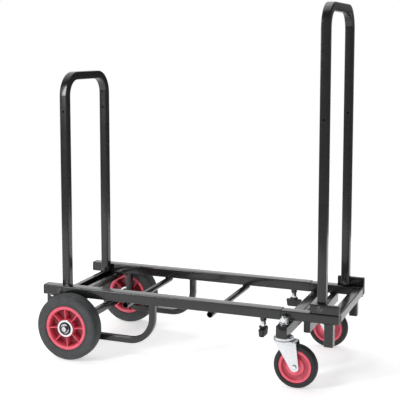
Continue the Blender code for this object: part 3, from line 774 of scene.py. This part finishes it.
class TRUCK_OT_crossbars(bpy.types.Operator):
    """Make the round crossbars, the pressed rear channel, the gusset plates and the clamp bosses"""
    bl_idname = "truck.crossbars"
    bl_label = "Crossbars and channel"

    def execute(self, context):
        wall = context.scene.truck_tubes.wall
        for node in ("crossbar_rear", "crossbar_middle"):
            centre, radius, half = turned_size(node)
            face = [(radius - wall, half)] + profile([(-0.3, 0), (0, -0.3)], radius, half)
            turned(node + "_finished", two_faced(face), "y", centre, 40, "powder_coat", "rear_frame", node)
        self.channel()
        self.gussets()
        self.bosses()
        return {'FINISHED'}

    def channel(self):
        """Two square ribs with a thin floor between them, pressed from one sheet."""
        low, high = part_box("rear_cross_channel")
        rib = high.z - low.z
        floor = low.z + 3 * MM
        rounding = 1.6 * MM
        foot, top = low.z + rounding, high.z - rounding
        corners = [(low.x + rounding, foot, 270), (low.x + rounding, top, 180),
                   (low.x + rib - rounding, top, 90), (high.x - rib + rounding, top, 180),
                   (high.x - rounding, top, 90), (high.x - rounding, foot, 0)]
        arcs = [ring_points(rounding, 5, (x, z), start, -90) for x, z, start in corners]
        outline = sum(arcs[:3], []) + [(low.x + rib, floor), (high.x - rib, floor)] + sum(arcs[3:], [])
        work = bmesh.new()
        plate(work, outline, "y", 0.0, high.y - low.y, 0.3 * MM, 1)
        finished("rear_cross_channel_finished", work, "powder_coat", "rear_frame", "rear_cross_channel")

    def gussets(self):
        """Hanging plate with a rounded foot and a slot under the rail."""
        rounding = 3 * MM
        for side in SIDES:
            node = "rear_gusset_" + side
            low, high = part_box(node)
            middle, width = (low.y + high.y) / 2, high.y - low.y
            outline = [(low.x, high.z), (low.x, low.z + rounding)]
            outline += ring_points(rounding, 5, (low.x + rounding, low.z + rounding), 180, 90)
            outline += [(low.x + 12 * MM, low.z), (high.x - 2 * MM, high.z - 12 * MM),
                        (high.x, high.z - 9 * MM), (high.x, high.z)]
            work = bmesh.new()
            plate(work, outline, "y", middle, width, 0.5 * MM)
            piece = to_object("rear_gusset_plate_" + side, work, "powder_coat")
            slot = bmesh.new()
            bar(slot, "y", (low.x + 10 * MM, middle - 1.5 * width, high.z - 5.1 * MM),
                (low.x + 34 * MM, middle + 1.5 * width, high.z - 1.7 * MM), 1.6 * MM, facets=4)
            cut_away(piece, slot)
            fit(piece, "rear_frame", "powder_coat", node)

    def bosses(self):
        """Welded round boss with a stepped lower end, for each clamp screw."""
        hole = 6.4 * MM
        for side in SIDES:
            node = "clamp_boss_" + side
            centre, outer, half = turned_size(node, "z")
            outline = ([(hole, -half)] + profile([(-2.2, 0), (-1.2, 1)], outer, -half)
                       + [(outer - 1.2 * MM, 0.0), (outer, half - 2 * MM), (outer, half), (hole, half)])
            turned("clamp_boss_ring_" + side, outline, "z", centre, 36, "powder_coat", "rear_frame", node)


class TRUCK_OT_bent_tubes(bpy.types.Operator):
    """Make the two U handles and the bent side loops"""
    bl_idname = "truck.bent_tubes"
    bl_label = "Handles and loops"

    def execute(self, context):
        tubes = context.scene.truck_tubes
        for name in ("rear_handle", "front_handle"):
            self.handle(name, tubes)
        for side in SIDES:
            self.loop(side, tubes)
        return {'FINISHED'}

    def handle(self, name, tubes):
        """U-shaped square tube across X, with a hole in each leg."""
        low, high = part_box(name + "_tube")
        size = high.x - low.x
        x = (low.x + high.x) / 2
        half, top = high.y - size / 2, high.z - size / 2
        bends = ((-half, low.z), (-half, top), (half, top), (half, low.z))
        corners = [Vector((x, y, z)) for y, z in bends]
        path = filleted(corners, [tubes.handle_bend] * 2, tubes.bend_steps)
        work = bmesh.new()
        inner = size - 2 * tubes.wall
        sweep_tube(work, path, Vector((1, 0, 0)), rounded_section(size, size, tubes.corner),
                   rounded_section(inner, inner, tubes.corner - tubes.wall))
        piece = to_object(name + "_bow", work, "powder_coat")
        holes = bmesh.new()
        drill = [(0.0, -size), (tubes.hole, -size), (tubes.hole, size), (0.0, size)]
        for sign in (-1, 1):
            lathe(holes, drill, "y", (x, half * sign, tubes.hole_height), 24)
        cut_away(piece, holes)
        fit(piece, name, "powder_coat", name + "_tube")

    def loop(self, side, tubes):
        """U-shaped square tube across Y, from the axle beam to the rail."""
        node = "side_loop_" + side
        low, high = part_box(node)
        size = high.y - low.y
        y = (low.y + high.y) / 2
        start, end, bottom = low.x + size / 2, high.x - size / 2, low.z + size / 2
        bends = ((start, high.z), (start, bottom), (end, bottom), (end, high.z))
        corners = [Vector((x, y, z)) for x, z in bends]
        path = filleted(corners, [tubes.loop_rear_bend, tubes.loop_bend], tubes.bend_steps)
        work = bmesh.new()
        inner = size - 2 * tubes.wall
        sweep_tube(work, path, Vector((0, 1, 0)), rounded_section(size, size, 2.5 * MM),
                   rounded_section(inner, inner, 1 * MM))
        finished("side_loop_bow_" + side, work, "powder_coat", "rear_frame", node)


class TRUCK_OT_wheels(bpy.types.Operator):
    """Make the rear wheels with their tyres, spoked rims, bearings, axle and nuts"""
    bl_idname = "truck.wheels"
    bl_label = "Rear wheels"

    def execute(self, context):
        wheels = context.scene.truck_wheels
        ribs = round_tree("spoke_ribs", "red_plastic", "rib")
        for side, sign in SIDES.items():
            self.tyre(side, wheels)
            self.rim(side, wheels, ribs)
            self.bearing(side)
            self.nut(side, sign)
        self.axle()
        return {'FINISHED'}

    def tyre(self, side, wheels):
        """Solid tyre: crowned tread, a groove beside each shoulder and raised rings on the walls."""
        node = "wheel_%s_tyre" % side
        centre, outer, half = turned_size(node)
        seat = turned_size("wheel_%s_rim" % side)[1] + 0.3 * MM
        shoulder = 12 * MM
        wall = profile([(0, -3.2), (1.2, -1.6), (3, -1.2), (3.6, -0.4), (5.4, -0.4), (6, -1.2), (11, -0.6),
                        (17, 0)], seat, half)
        bend = ring_points(shoulder, 8, (outer - shoulder - 1.2 * MM, half - shoulder), 80, -58)
        groove = profile([(-2.2, -9.2), (-3.1, -9.8), (-3.1, -10.8), (-1.3, -11.4), (-0.4, -15)], outer, half)
        outline = two_faced(wall + bend + groove + [(outer, 0.6 * MM)])
        turned("wheel_tyre_" + side, outline, "y", centre, wheels.steps, "tyre_rubber", "rear_wheel_" + side,
               node, angle=TYRE_SHARP)

    def rim(self, side, wheels, ribs):
        """Moulded rim: rolled lip, sloping bowl, web, hub and ribs on both faces."""
        node = "wheel_%s_rim" % side
        centre, lip, half = turned_size(node)
        face = (profile([(0, -3.4), (-1, -2.2), (-3, -1.6), (-8, -2), (-9.6, -2.8), (-10.4, -5), (-11.4, -9)],
                        lip, half)
                + profile([(53.5, 4), (51.5, 2.2), (30.5, 2.2), (28.6, 4)])
                + profile([(27, -3), (26.2, -1), (24.4, 0), (21, 0)], along=half)
                + profile([(0.4, -0.6), (0, -1.4)], HUB_BORE, half))
        work = bmesh.new()
        lathe(work, two_faced(face), "y", centre, wheels.steps, closed=True)
        body = to_object("wheel_rim_" + side, work, "red_plastic")
        inner, outer = 26.5 * MM, 57.5 * MM
        spokes = grow("ribs", ribs, {
            "Count": wheels.spokes, "Radius": (inner + outer) / 2, "Centre": tuple(centre),
            "Size": (outer - inner, wheels.rib, 2 * (half - 4.4 * MM)), "Tilt": (math.radians(90), 0.0, 0.0)})
        turn = Matrix.Rotation(math.radians(-4), 4, 'Y')
        spokes.data.transform(Matrix.Translation(centre) @ turn @ Matrix.Translation(-centre))
        bevelled = bmesh.new()
        bevelled.from_mesh(spokes.data)
        bmesh.ops.bevel(bevelled, geom=bevelled.edges[:], offset=0.5 * MM, segments=2, profile=0.5,
                        affect='EDGES', clamp_overlap=True)
        bevelled.to_mesh(spokes.data)
        bevelled.free()
        add_to(body, spokes)
        # The recess mask drives the painted shade deep in the rim's pockets.
        mark_recess_shade(body, centre.y, half - 4.5 * MM, 2.5 * MM)
        fit(body, "rear_wheel_" + side, "red_plastic", node)

    def bearing(self, side):
        """Sealed bearing: a black seal, with a bright ring on each face of the hub."""
        node = "wheel_%s_bearing" % side
        body = "rear_wheel_" + side
        centre, outer, half = turned_size(node)
        face = (profile([(0, -0.4), (-0.5, 0), (-1.2, 0), (-1.6, -0.7)], outer, half)
                + profile([(12.4, -0.7), (12, 0), (8.4, 0)], along=half))
        turned("wheel_bearing_" + side, two_faced(face), "y", centre, 56, "black_plastic", body, node)
        ring = (profile([(0.2, 0.5), (0.8, 2.3)], HUB_BORE, half)
                + profile([(25.6, 2.3), (26.2, 1.8), (26.2, 0.9), (25.2, 0.6)], along=half))
        for name, way in (("outer", 1), ("inner", -1)):
            turned("hub_ring_%s_%s" % (name, side), ring, "y", centre, 56, "zinc", body, way=way)

    def nut(self, side, sign):
        """Lock nut with a washer, on the end of the axle."""
        node = "wheel_nut_" + side
        centre, _radius, half = turned_size(node)
        work = bmesh.new()
        hexagon_nut(work, "y", (centre.x, centre.z), centre.y - sign * 0.5 * MM, 21 * MM,
                    2 * half - 2.4 * MM, ROD_HOLE)
        collar = profile([(8.3, -2), (10.6, -2), (10.4, -0.6), (9.4, 0), (8.3, 0)], along=half)
        lathe(work, collar, "y", centre, 36, closed=True, way=sign)
        finished("axle_nut_" + side, work, "dark_steel", "rear_frame", node)
        washer = profile([(8.3, 0), (14, 0), (14.2, 0.4), (14.2, 1.2), (8.3, 1.2)], along=-half)
        turned("axle_washer_" + side, washer, "y", centre, 48, "zinc", "rear_frame", way=sign)

    def axle(self):
        """Rod with a drilled centre and a grooved length at each end."""
        centre, _radius, half = turned_size("wheel_axle")
        outline = (profile([(0, -3.4), (3.4, -3), (3.6, -0.4), (4.2, 0)], along=half)
                   + profile([(-1, 0), (0, -1)], ROD, half))
        for turn in range(1, 9):
            outline += profile([(0, 0), (-0.6, -0.6)], ROD, half - 1.2 * turn * MM)
        outline += [(ROD, half - 12 * MM)]
        turned("wheel_axle_rod", two_faced(outline), "y", centre, 36, "zinc", "rear_frame", "wheel_axle",
               closed=False)


class TRUCK_OT_casters(bpy.types.Operator):
    """Make the swivel casters: forks, races, balls, wheels, axle bolts and kingpins"""
    bl_idname = "truck.casters"
    bl_label = "Swivel casters"

    def execute(self, context):
        balls = round_tree("race_balls", "zinc", "ball")
        for side in SIDES:
            self.fork(side)
            self.kingpin(side, balls)
            self.wheel(side)
            self.axle(side)
            self.stem_nut(side)
        return {'FINISHED'}

    def fork(self, side):
        """Pressed yoke with rounded shoulders, two tapering legs and a round race on top."""
        node = "caster_fork_" + side
        low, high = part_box(node)
        stem = middle_of("kingpin_" + side)
        hub = middle_of("caster_axle_" + side)
        inside = 17.0 * MM
        top = high.z
        nose, tail = stem.x - 18 * MM, stem.x + 41 * MM
        shoulder = 5 * MM
        tip = ring_points(hub.z - low.z, 20, (hub.x, hub.z), -8, -146)
        head = ([(nose - 1.5 * MM, top - shoulder)]
                + ring_points(shoulder, 6, (nose + 3.5 * MM, top - shoulder), 180, -90)
                + ring_points(shoulder, 6, (tail - shoulder, top - shoulder), 90, -90)
                + [(tail, top - 9 * MM)])
        work = bmesh.new()
        plate(work, head + tip, "y", stem.y, 2 * FORK_FACE, 3.0 * MM, 4)
        piece = to_object("caster_yoke_" + side, work, "zinc")
        start, end = nose - 40 * MM, tail + 40 * MM
        bottom, roof = low.z - 20 * MM, top - 3.4 * MM
        hollow = bmesh.new()
        plate(hollow, [(start, bottom), (start, roof), (end, roof), (end, bottom)], "y", stem.y, 2 * inside)
        cut_away(piece, hollow)
        race = profile([(7, -0.2), (20, -0.2), (22, 0.6), (26.8, 0.6), (28.4, -0.6), (28.5, -3.6),
                        (27, -4.6), (7, -4.6)], along=top)
        work = bmesh.new()
        lathe(work, race, "z", (stem.x, stem.y, 0.0), 56, closed=True)
        add_to(piece, to_object("race", work, "zinc"))
        fit(piece, "caster_swivel_" + side, "zinc", node)

    def kingpin(self, side, balls):
        """Threaded stem and the fixed upper cup, with the ball ring under it."""
        node = "kingpin_" + side
        low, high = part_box(node)
        centre = (low + high) / 2
        fork_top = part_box("caster_fork_" + side)[1].z
        cup_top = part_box("caster_beam")[0].z - 0.3 * MM
        cup_low = fork_top + 2.5 * MM
        cup = (profile([(0, 0), (24, 0), (26.6, -0.8), (28.2, -2.6)], along=cup_top)
               + profile([(28.5, 1.6), (29.6, 0.8), (29.6, 0), (27.6, 0), (26, 1.6), (6.2, 1.6)],
                         along=cup_low)
               + profile([(6.2, 3.2), (9.5, 3), (9, 1), (6, 0), (0, 0)], along=low.z))
        work = bmesh.new()
        lathe(work, cup, "z", (centre.x, centre.y, 0.0), 56)
        thread(work, ROD, 0.7 * MM, cup_top - 0.5 * MM, high.z - 1.0 * MM, centre)
        finished("caster_stem_" + side, work, "zinc", "front_frame", node)
        ball = 2.3 * MM
        height = (cup_low + fork_top) / 2 + 0.6 * MM
        ring = grow("race_balls_" + side, balls, {
            "Count": 26, "Radius": 24.2 * MM, "Size": (ball, ball, ball),
            "Centre": (centre.x, centre.y, height)})
        shade(ring, BALL_SHARP)
        fit(ring, "front_frame", "zinc")

    def wheel(self, side):
        """Rubber tread on a stepped red disc."""
        tyre, disc = "caster_tyre_" + side, "caster_rim_" + side
        body = "caster_wheel_" + side
        centre, outer, half = turned_size(tyre)
        shoulder = 8.5 * MM
        face = profile([(48, -2.2), (48.8, -0.8), (50.2, 0)], along=half)
        face += ring_points(shoulder, 9, (outer - shoulder - 0.4 * MM, half - shoulder), 84, -70)
        turned("caster_tread_" + side, two_faced(face + [(outer, 0.5 * MM)]), "y", centre, 80,
               "caster_rubber", body, tyre, angle=TYRE_SHARP)
        _centre, rim, half = turned_size(disc)
        half -= 2.2 * MM
        face = (profile([(0, -2.6), (-0.8, -1.4), (-2, -1), (-7, -1.4), (-8.2, -2.4), (-9.6, -8.6),
                         (-11.2, -9.6)], rim, half)
                + profile([(29.5, -9.6), (27.5, -8.8), (25.6, -4.2), (24.2, -3.4), (16, -2.6), (14, 1.4),
                           (12.6, 2.2), (6.6, 2.2)], along=half))
        work = bmesh.new()
        lathe(work, two_faced(face), "y", centre, 80, closed=True)
        piece = to_object("caster_disc_" + side, work, "red_plastic")
        # The recess mask drives the painted shade deep in the disc's groove.
        mark_recess_shade(piece, centre.y, half - 5.0 * MM, half - 14.0 * MM)
        fit(piece, body, "red_plastic", disc)

    def axle(self, side):
        """Axle bolt with a washer and a hexagon at each end."""
        node = "caster_axle_" + side
        centre, _radius, half = turned_size(node)
        seat = FORK_FACE + 0.3 * MM
        work = bmesh.new()
        lathe(work, two_faced(profile([(0, -0.6), (5, -0.6), (6.2, -2)], along=half)), "y", centre, 32)
        washer = profile([(6.3, 0), (7.5, 0), (7.5, 1), (6.3, 1)], along=seat)
        for way in (-1, 1):
            lathe(work, washer, "y", centre, 32, closed=True, way=way)
            hexagon_nut(work, "y", (centre.x, centre.z), centre.y + way * (seat + 3.3 * MM), 12.6 * MM,
                        4.4 * MM, 5.2 * MM)
        finished("caster_bolt_" + side, work, "zinc", "caster_swivel_" + side, node)

    def stem_nut(self, side):
        """Hexagon nut on a washer and a spring ring, on top of the beam."""
        node = "stem_nut_" + side
        low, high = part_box(node)
        centre = middle_of(node)
        work = bmesh.new()
        washer = [(8.3, 0), (14.6, 0), (15, 0.6), (15, 1.6), (14.4, 2.1), (8.3, 2.1)]
        spring = [(8.3, 2.3), (12.2, 2.3), (12.2, 4.2), (8.3, 4.2)]
        for ring in (washer, spring):
            lathe(work, profile(ring, along=low.z), "z", (centre.x, centre.y, 0.0), 40, closed=True)
        start = low.z + 4.4 * MM
        hexagon_nut(work, "z", (centre.x, centre.y), (start + high.z) / 2, 24 * MM, high.z - start, ROD_HOLE)
        finished("stem_nut_hex_" + side, work, "zinc", "front_frame", node)


class TRUCK_OT_clamps(bpy.types.Operator):
    """Make the clamp screws with their winged knobs"""
    bl_idname = "truck.clamps"
    bl_label = "Clamp knobs"

    def execute(self, context):
        for side in SIDES:
            screw, knob = "clamp_screw_" + side, "clamp_knob_" + side
            centre = middle_of(screw)
            on_stem = (centre.x, centre.y, 0.0)
            low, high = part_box(knob)
            wing_top = low.z + 22 * MM
            size = (50 * MM, 18 * MM) if high.x - low.x > high.y - low.y else (18 * MM, 50 * MM)
            work = bmesh.new()
            self.wing(work, centre, size, low.z, wing_top)
            hub = (profile([(0, 1), (8, 1), (9.5, 4)], along=low.z)
                   + profile([(10.5, 0), (12.3, 1.2)], along=wing_top)
                   + profile([(12.5, -1.4), (11.5, 0), (0, 0)], along=high.z))
            lathe(work, hub, "z", on_stem, 40)
            finished("clamp_grip_" + side, work, "black_plastic", "clamp_" + side, knob)
            collar_low = high.z - 0.5 * MM
            collar_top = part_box("clamp_boss_" + side)[0].z - 1.2 * MM
            collar = (profile([(5, 0), (8.6, 0), (8.8, 0.8)], along=collar_low)
                      + profile([(8, -5), (7.4, 0), (5, 0)], along=collar_top))
            low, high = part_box(screw)
            work = bmesh.new()
            thread(work, 6.0 * MM, 0.6 * MM, low.z, high.z, centre)
            lathe(work, collar, "z", on_stem, 36, closed=True)
            finished("clamp_thread_" + side, work, "zinc", "clamp_" + side, screw)
        return {'FINISHED'}

    def wing(self, work, centre, size, bottom, top):
        """Two-winged grip: wide and soft at the top, drawn in towards the bottom."""
        rings = []
        stations = ((0.0, 0.80, 0.72), (0.04, 0.86, 0.82), (0.12, 0.89, 0.88), (0.55, 0.94, 0.94),
                    (0.85, 0.99, 1.0), (0.94, 0.99, 0.98), (1.0, 0.94, 0.86))
        for share, long_scale, short_scale in stations:
            wide, deep = [reach * (long_scale if reach == max(size) else short_scale) for reach in size]
            height = bottom + share * (top - bottom)
            section = rounded_section(wide, deep, min(size) * short_scale * 0.40, 6)
            rings.append([Vector((centre.x + a, centre.y + b, height)) for a, b in section])
        capped(work, rings)


class TRUCK_OT_pivots(bpy.types.Operator):
    """Make the handles' pivot bolts with their washers and lock nuts"""
    bl_idname = "truck.pivots"
    bl_label = "Pivot bolts"

    def execute(self, context):
        for end, rail, handle in (("rear", "outer_rail_", "rear_handle_tube"),
                                  ("front", "inner_rail_", "front_handle_tube")):
            low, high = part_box(handle)
            inner_face = high.y - (high.x - low.x)
            for side, sign in SIDES.items():
                node = "%s_pivot_bolt_%s" % (end, side)
                centre = middle_of(node)
                on_axis = (centre.x, 0.0, centre.z)
                body = body_of(node)
                outside = y_reach(rail + side)[1]
                bolt = (profile([(0, 1.6), (2.2, 1.6), (2.3, 4), (3.6, 4.2), (5.4, 3.6), (6.8, 2.4),
                                 (7.4, 1.4), (9, 1.3), (9.2, 0.9), (9.2, 0.3), (4, 0.3)], along=outside)
                        + profile([(4, -8.6), (3.2, -9), (0, -9)], along=inner_face))
                turned("pivot_bolt_%s_%s" % (end, side), bolt, "y", on_axis, 32, "dark_steel", body, node,
                       closed=False, way=sign)
                washer = profile([(4.2, -0.3), (8, -0.3), (8, -1.4), (4.2, -1.4)], along=inner_face)
                work = bmesh.new()
                lathe(work, washer, "y", on_axis, 32, closed=True, way=sign)
                hexagon_nut(work, "y", (centre.x, centre.z), sign * (inner_face - 4.2 * MM), 12.8 * MM,
                            5.2 * MM, 4.2 * MM)
                finished("pivot_nut_%s_%s" % (end, side), work, "dark_steel", body)
        return {'FINISHED'}


class TRUCK_OT_welds(bpy.types.Operator):
    """Make the weld beads of both frames"""
    bl_idname = "truck.welds"
    bl_label = "Weld beads"

    def execute(self, context):
        tree = weld_tree()
        for body, maker in (("rear_frame", self.rear_paths), ("front_frame", self.front_paths)):
            paths = [path for side, sign in SIDES.items() for path in maker(side, sign)]
            points, edges = [], []
            for path in paths:
                first = len(points)
                points += path
                edges += [(first + i, first + i + 1) for i in range(len(path) - 1)]
            mesh = bpy.data.meshes.new("weld_lines")
            mesh.from_pydata(points, edges, [])
            sizes = {"Ripple pitch": 1.5 * MM, "Bead radius": 1.9 * MM}
            piece = grow("weld_beads_" + body, tree, sizes, mesh)
            shade(piece, BALL_SHARP)
            fit(piece, body, "powder_coat")
        return {'FINISHED'}

    def around(self, start_x, end_x, start_y, end_y, height):
        """A closed rectangle at one height."""
        corners = [(start_x, start_y), (end_x, start_y), (end_x, end_y), (start_x, end_y), (start_x, start_y)]
        return [(x, y, height) for x, y in corners]

    def across(self, x, sign, near, far, height):
        """A straight run across the frame on one side of it."""
        return [(x, sign * near, height), (x, sign * far, height)]

    def rear_paths(self, side, sign):
        """Seams of the crossbars, the channel, the loop and the axle beam."""
        paths = []
        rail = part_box("outer_rail_" + side)[0].z
        near, far = y_reach("outer_rail_" + side)
        for node in ("crossbar_rear", "crossbar_middle"):
            for away in (-5.0 * MM, 5.0 * MM):
                paths.append(self.across(middle_of(node).x + away, sign, near, far - 9 * MM, rail - 1.0 * MM))
        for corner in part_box("rear_cross_channel"):
            paths.append(self.across(corner.x, sign, near + 1 * MM, far - 7 * MM, rail - 0.4 * MM))
        low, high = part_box("side_loop_" + side)
        size = high.y - low.y
        for start in (low.x, high.x - size):
            paths.append(self.around(start, start + size, low.y, high.y, high.z - 0.2 * MM))
        beam_low, beam_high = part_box("axle_beam")
        seam = (beam_high.x + low.x) / 2
        y = sign * (near + 8.7 * MM)
        paths.append([(seam, y, beam_low.z + 1 * MM), (seam, y, beam_high.z - 1 * MM)])
        return paths

    def front_paths(self, side, sign):
        """Seams of the foot, the end bar, the lower crossbar, the bracket and the caster beam."""
        paths = []
        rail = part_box("inner_rail_" + side)[0].z
        near, far = y_reach("inner_rail_" + side)
        low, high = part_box("foot_" + side)
        paths.append(self.around(low.x, high.x, low.y, high.y, rail - 0.3 * MM))
        low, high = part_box("end_bar")
        corners = [(low.x, high.z), (low.x, low.z), (high.x, low.z)]
        paths.append([(x, sign * (near - 0.4 * MM), z) for x, z in corners])
        low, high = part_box("lower_crossbar")
        for x in (low.x, high.x):
            paths.append(self.across(x, sign, near, far - 6 * MM, high.z - 0.2 * MM))
        bracket = "handle_bracket_" + side
        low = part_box(bracket)[0]
        paths.append(self.across(low.x, sign, y_reach(bracket)[0] + 2 * MM, far - 1.5 * MM, low.z))
        middle = (near + far) / 2
        for away in (-12 * MM, 12 * MM):
            paths.append(self.across(middle_of("caster_beam").x + away, sign, middle - 11 * MM,
                                     middle + 11 * MM, rail - 0.3 * MM))
        return paths


class TRUCK_OT_recoat(bpy.types.Operator):
    """Give the frame's own nodes that still show the finish of their slot"""
    bl_idname = "truck.recoat"
    bl_label = "Finish of the plain pieces"

    def execute(self, context):
        for entry in frame["record"]["subparts"]:
            item = frame["nodes"][entry["node"]]
            item.data.materials.clear()
            item.data.materials.append(finish_for(entry["material_slot"]))
        return {'FINISHED'}


class TRUCK_OT_stage(bpy.types.Operator):
    """Make the pale floor, the soft studio light and the camera"""
    bl_idname = "truck.stage"
    bl_label = "Stage, light and camera"

    def execute(self, context):
        stage = context.scene.truck_stage
        context.scene.view_settings.view_transform = 'Standard'
        self.floor(stage)
        self.world(context, stage)
        self.light("key", (-1.6, -2.6, 1.9), (0.5, 2.2), 60)
        self.light("fill", (2.6, -2.2, 1.8), (1.6, 1.6), 2)
        self.light("top", (0.0, 0.6, 3.2), (2.2, 2.2), 14)
        data = bpy.data.cameras.new("camera")
        data.lens = stage.lens
        data.sensor_width = 36
        data.shift_y = stage.shift
        camera = in_scene("camera", data)
        camera.location = stage.eye
        camera.rotation_euler = (math.radians(90) - stage.pitch, 0, stage.yaw)
        context.scene.camera = camera
        return {'FINISHED'}

    def floor(self, stage):
        """Pale lit floor, a square around the origin."""
        work = bmesh.new()
        bmesh.ops.create_grid(work, x_segments=1, y_segments=1, size=1.9)
        made, tree, place = start_material("pale_studio_floor")
        cloud = spread(tree, noise(tree, place, 0.4, 2.0), 0.0, 1.0)
        body = between(tree, cloud, stage.floor, "#f7f7f7")
        end_material(tree, Base_Color=body, Roughness=0.9, Emission_Color=linear("#ffffff"),
                     Emission_Strength=stage.floor_glow)
        floor = in_scene("floor", to_mesh("floor", work))
        floor.data.materials.append(made)

    def world(self, context, stage):
        """Studio light by direction, with a white backdrop for the camera.

        It is bright behind the truck, towards its rear wheels and above, dark around that, and
        dim on the opposite side, in front.
        """
        world = bpy.data.worlds.new("studio")
        context.scene.world = world
        world.use_nodes = True
        tree = world.node_tree
        tree.nodes.clear()
        white = linear("#ffffff")
        way = add_node(tree, "ShaderNodeTexCoord").outputs["Generated"]
        bright_way = Vector((-0.6, 0.6, 0.5)).normalized()
        turned = add_node(tree, "ShaderNodeVectorMath", {0: way, 1: bright_way}, operation='DOT_PRODUCT')
        facing = turned.outputs["Value"]
        dim = spread(tree, facing, stage.front_light, 0.06, -0.3, 0.3)
        bright = spread(tree, facing, 0.0, 1.0, 0.45, 0.85)
        strength = add_node(tree, "ShaderNodeMath", {0: dim, 1: bright}, operation='ADD').outputs[0]
        studio = add_node(tree, "ShaderNodeBackground", {"Color": white, "Strength": strength})
        seen = add_node(tree, "ShaderNodeBackground", {"Color": white, "Strength": 1.0})
        direct = add_node(tree, "ShaderNodeLightPath").outputs["Is Camera Ray"]
        mixed = add_node(tree, "ShaderNodeMixShader", {0: direct, 1: studio.outputs[0], 2: seen.outputs[0]})
        add_node(tree, "ShaderNodeOutputWorld", {"Surface": mixed.outputs[0]})

    def light(self, name, place, size, power):
        """Rectangular lamp that looks at the truck's middle."""
        target = (CAD_BOX[0] + CAD_BOX[1]) / 2
        data = bpy.data.lights.new(name, 'AREA')
        data.shape = 'RECTANGLE'
        data.size, data.size_y = size
        data.energy = power
        lamp = in_scene(name, data)
        lamp.location = place
        lamp.rotation_euler = (target - Vector(place)).to_track_quat('-Z', 'Y').to_euler()


class TRUCK_PT_panel(bpy.types.Panel):
    """Sidebar panel that lists the settings and the makers"""
    bl_label = "Hand truck"
    bl_idname = "TRUCK_PT_panel"
    bl_space_type = 'VIEW_3D'
    bl_region_type = 'UI'
    bl_category = "Hand truck"

    def draw(self, context):
        for group in ("truck_colours", "truck_tubes", "truck_wheels", "truck_stage"):
            settings = getattr(context.scene, group)
            box = self.layout.box()
            for name in settings.bl_rna.properties.keys():
                if name not in {"rna_type", "name"}:
                    box.prop(settings, name)
        for maker in MAKE_ORDER:
            self.layout.operator(maker.bl_idname)


MAKE_ORDER = (TRUCK_OT_recoat, TRUCK_OT_rails, TRUCK_OT_crossbars, TRUCK_OT_bent_tubes, TRUCK_OT_wheels,
              TRUCK_OT_casters, TRUCK_OT_clamps, TRUCK_OT_pivots, TRUCK_OT_welds, TRUCK_OT_stage)
GROUPS = {"truck_colours": TruckColours, "truck_tubes": TruckTubes, "truck_wheels": TruckWheels,
          "truck_stage": TruckStage}
CLASSES = (*GROUPS.values(), *MAKE_ORDER, TRUCK_PT_panel)


def register():
    for item in CLASSES:
        bpy.utils.register_class(item)
    for name, group in GROUPS.items():
        setattr(bpy.types.Scene, name, bpy.props.PointerProperty(type=group))


def unregister():
    for name in GROUPS:
        delattr(bpy.types.Scene, name)
    for item in reversed(CLASSES):
        bpy.utils.unregister_class(item)


def main():
    register()
    for maker in MAKE_ORDER:
        group, name = maker.bl_idname.split(".")
        getattr(getattr(bpy.ops, group), name)()
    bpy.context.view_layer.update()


if __name__ == "__main__":
    main()
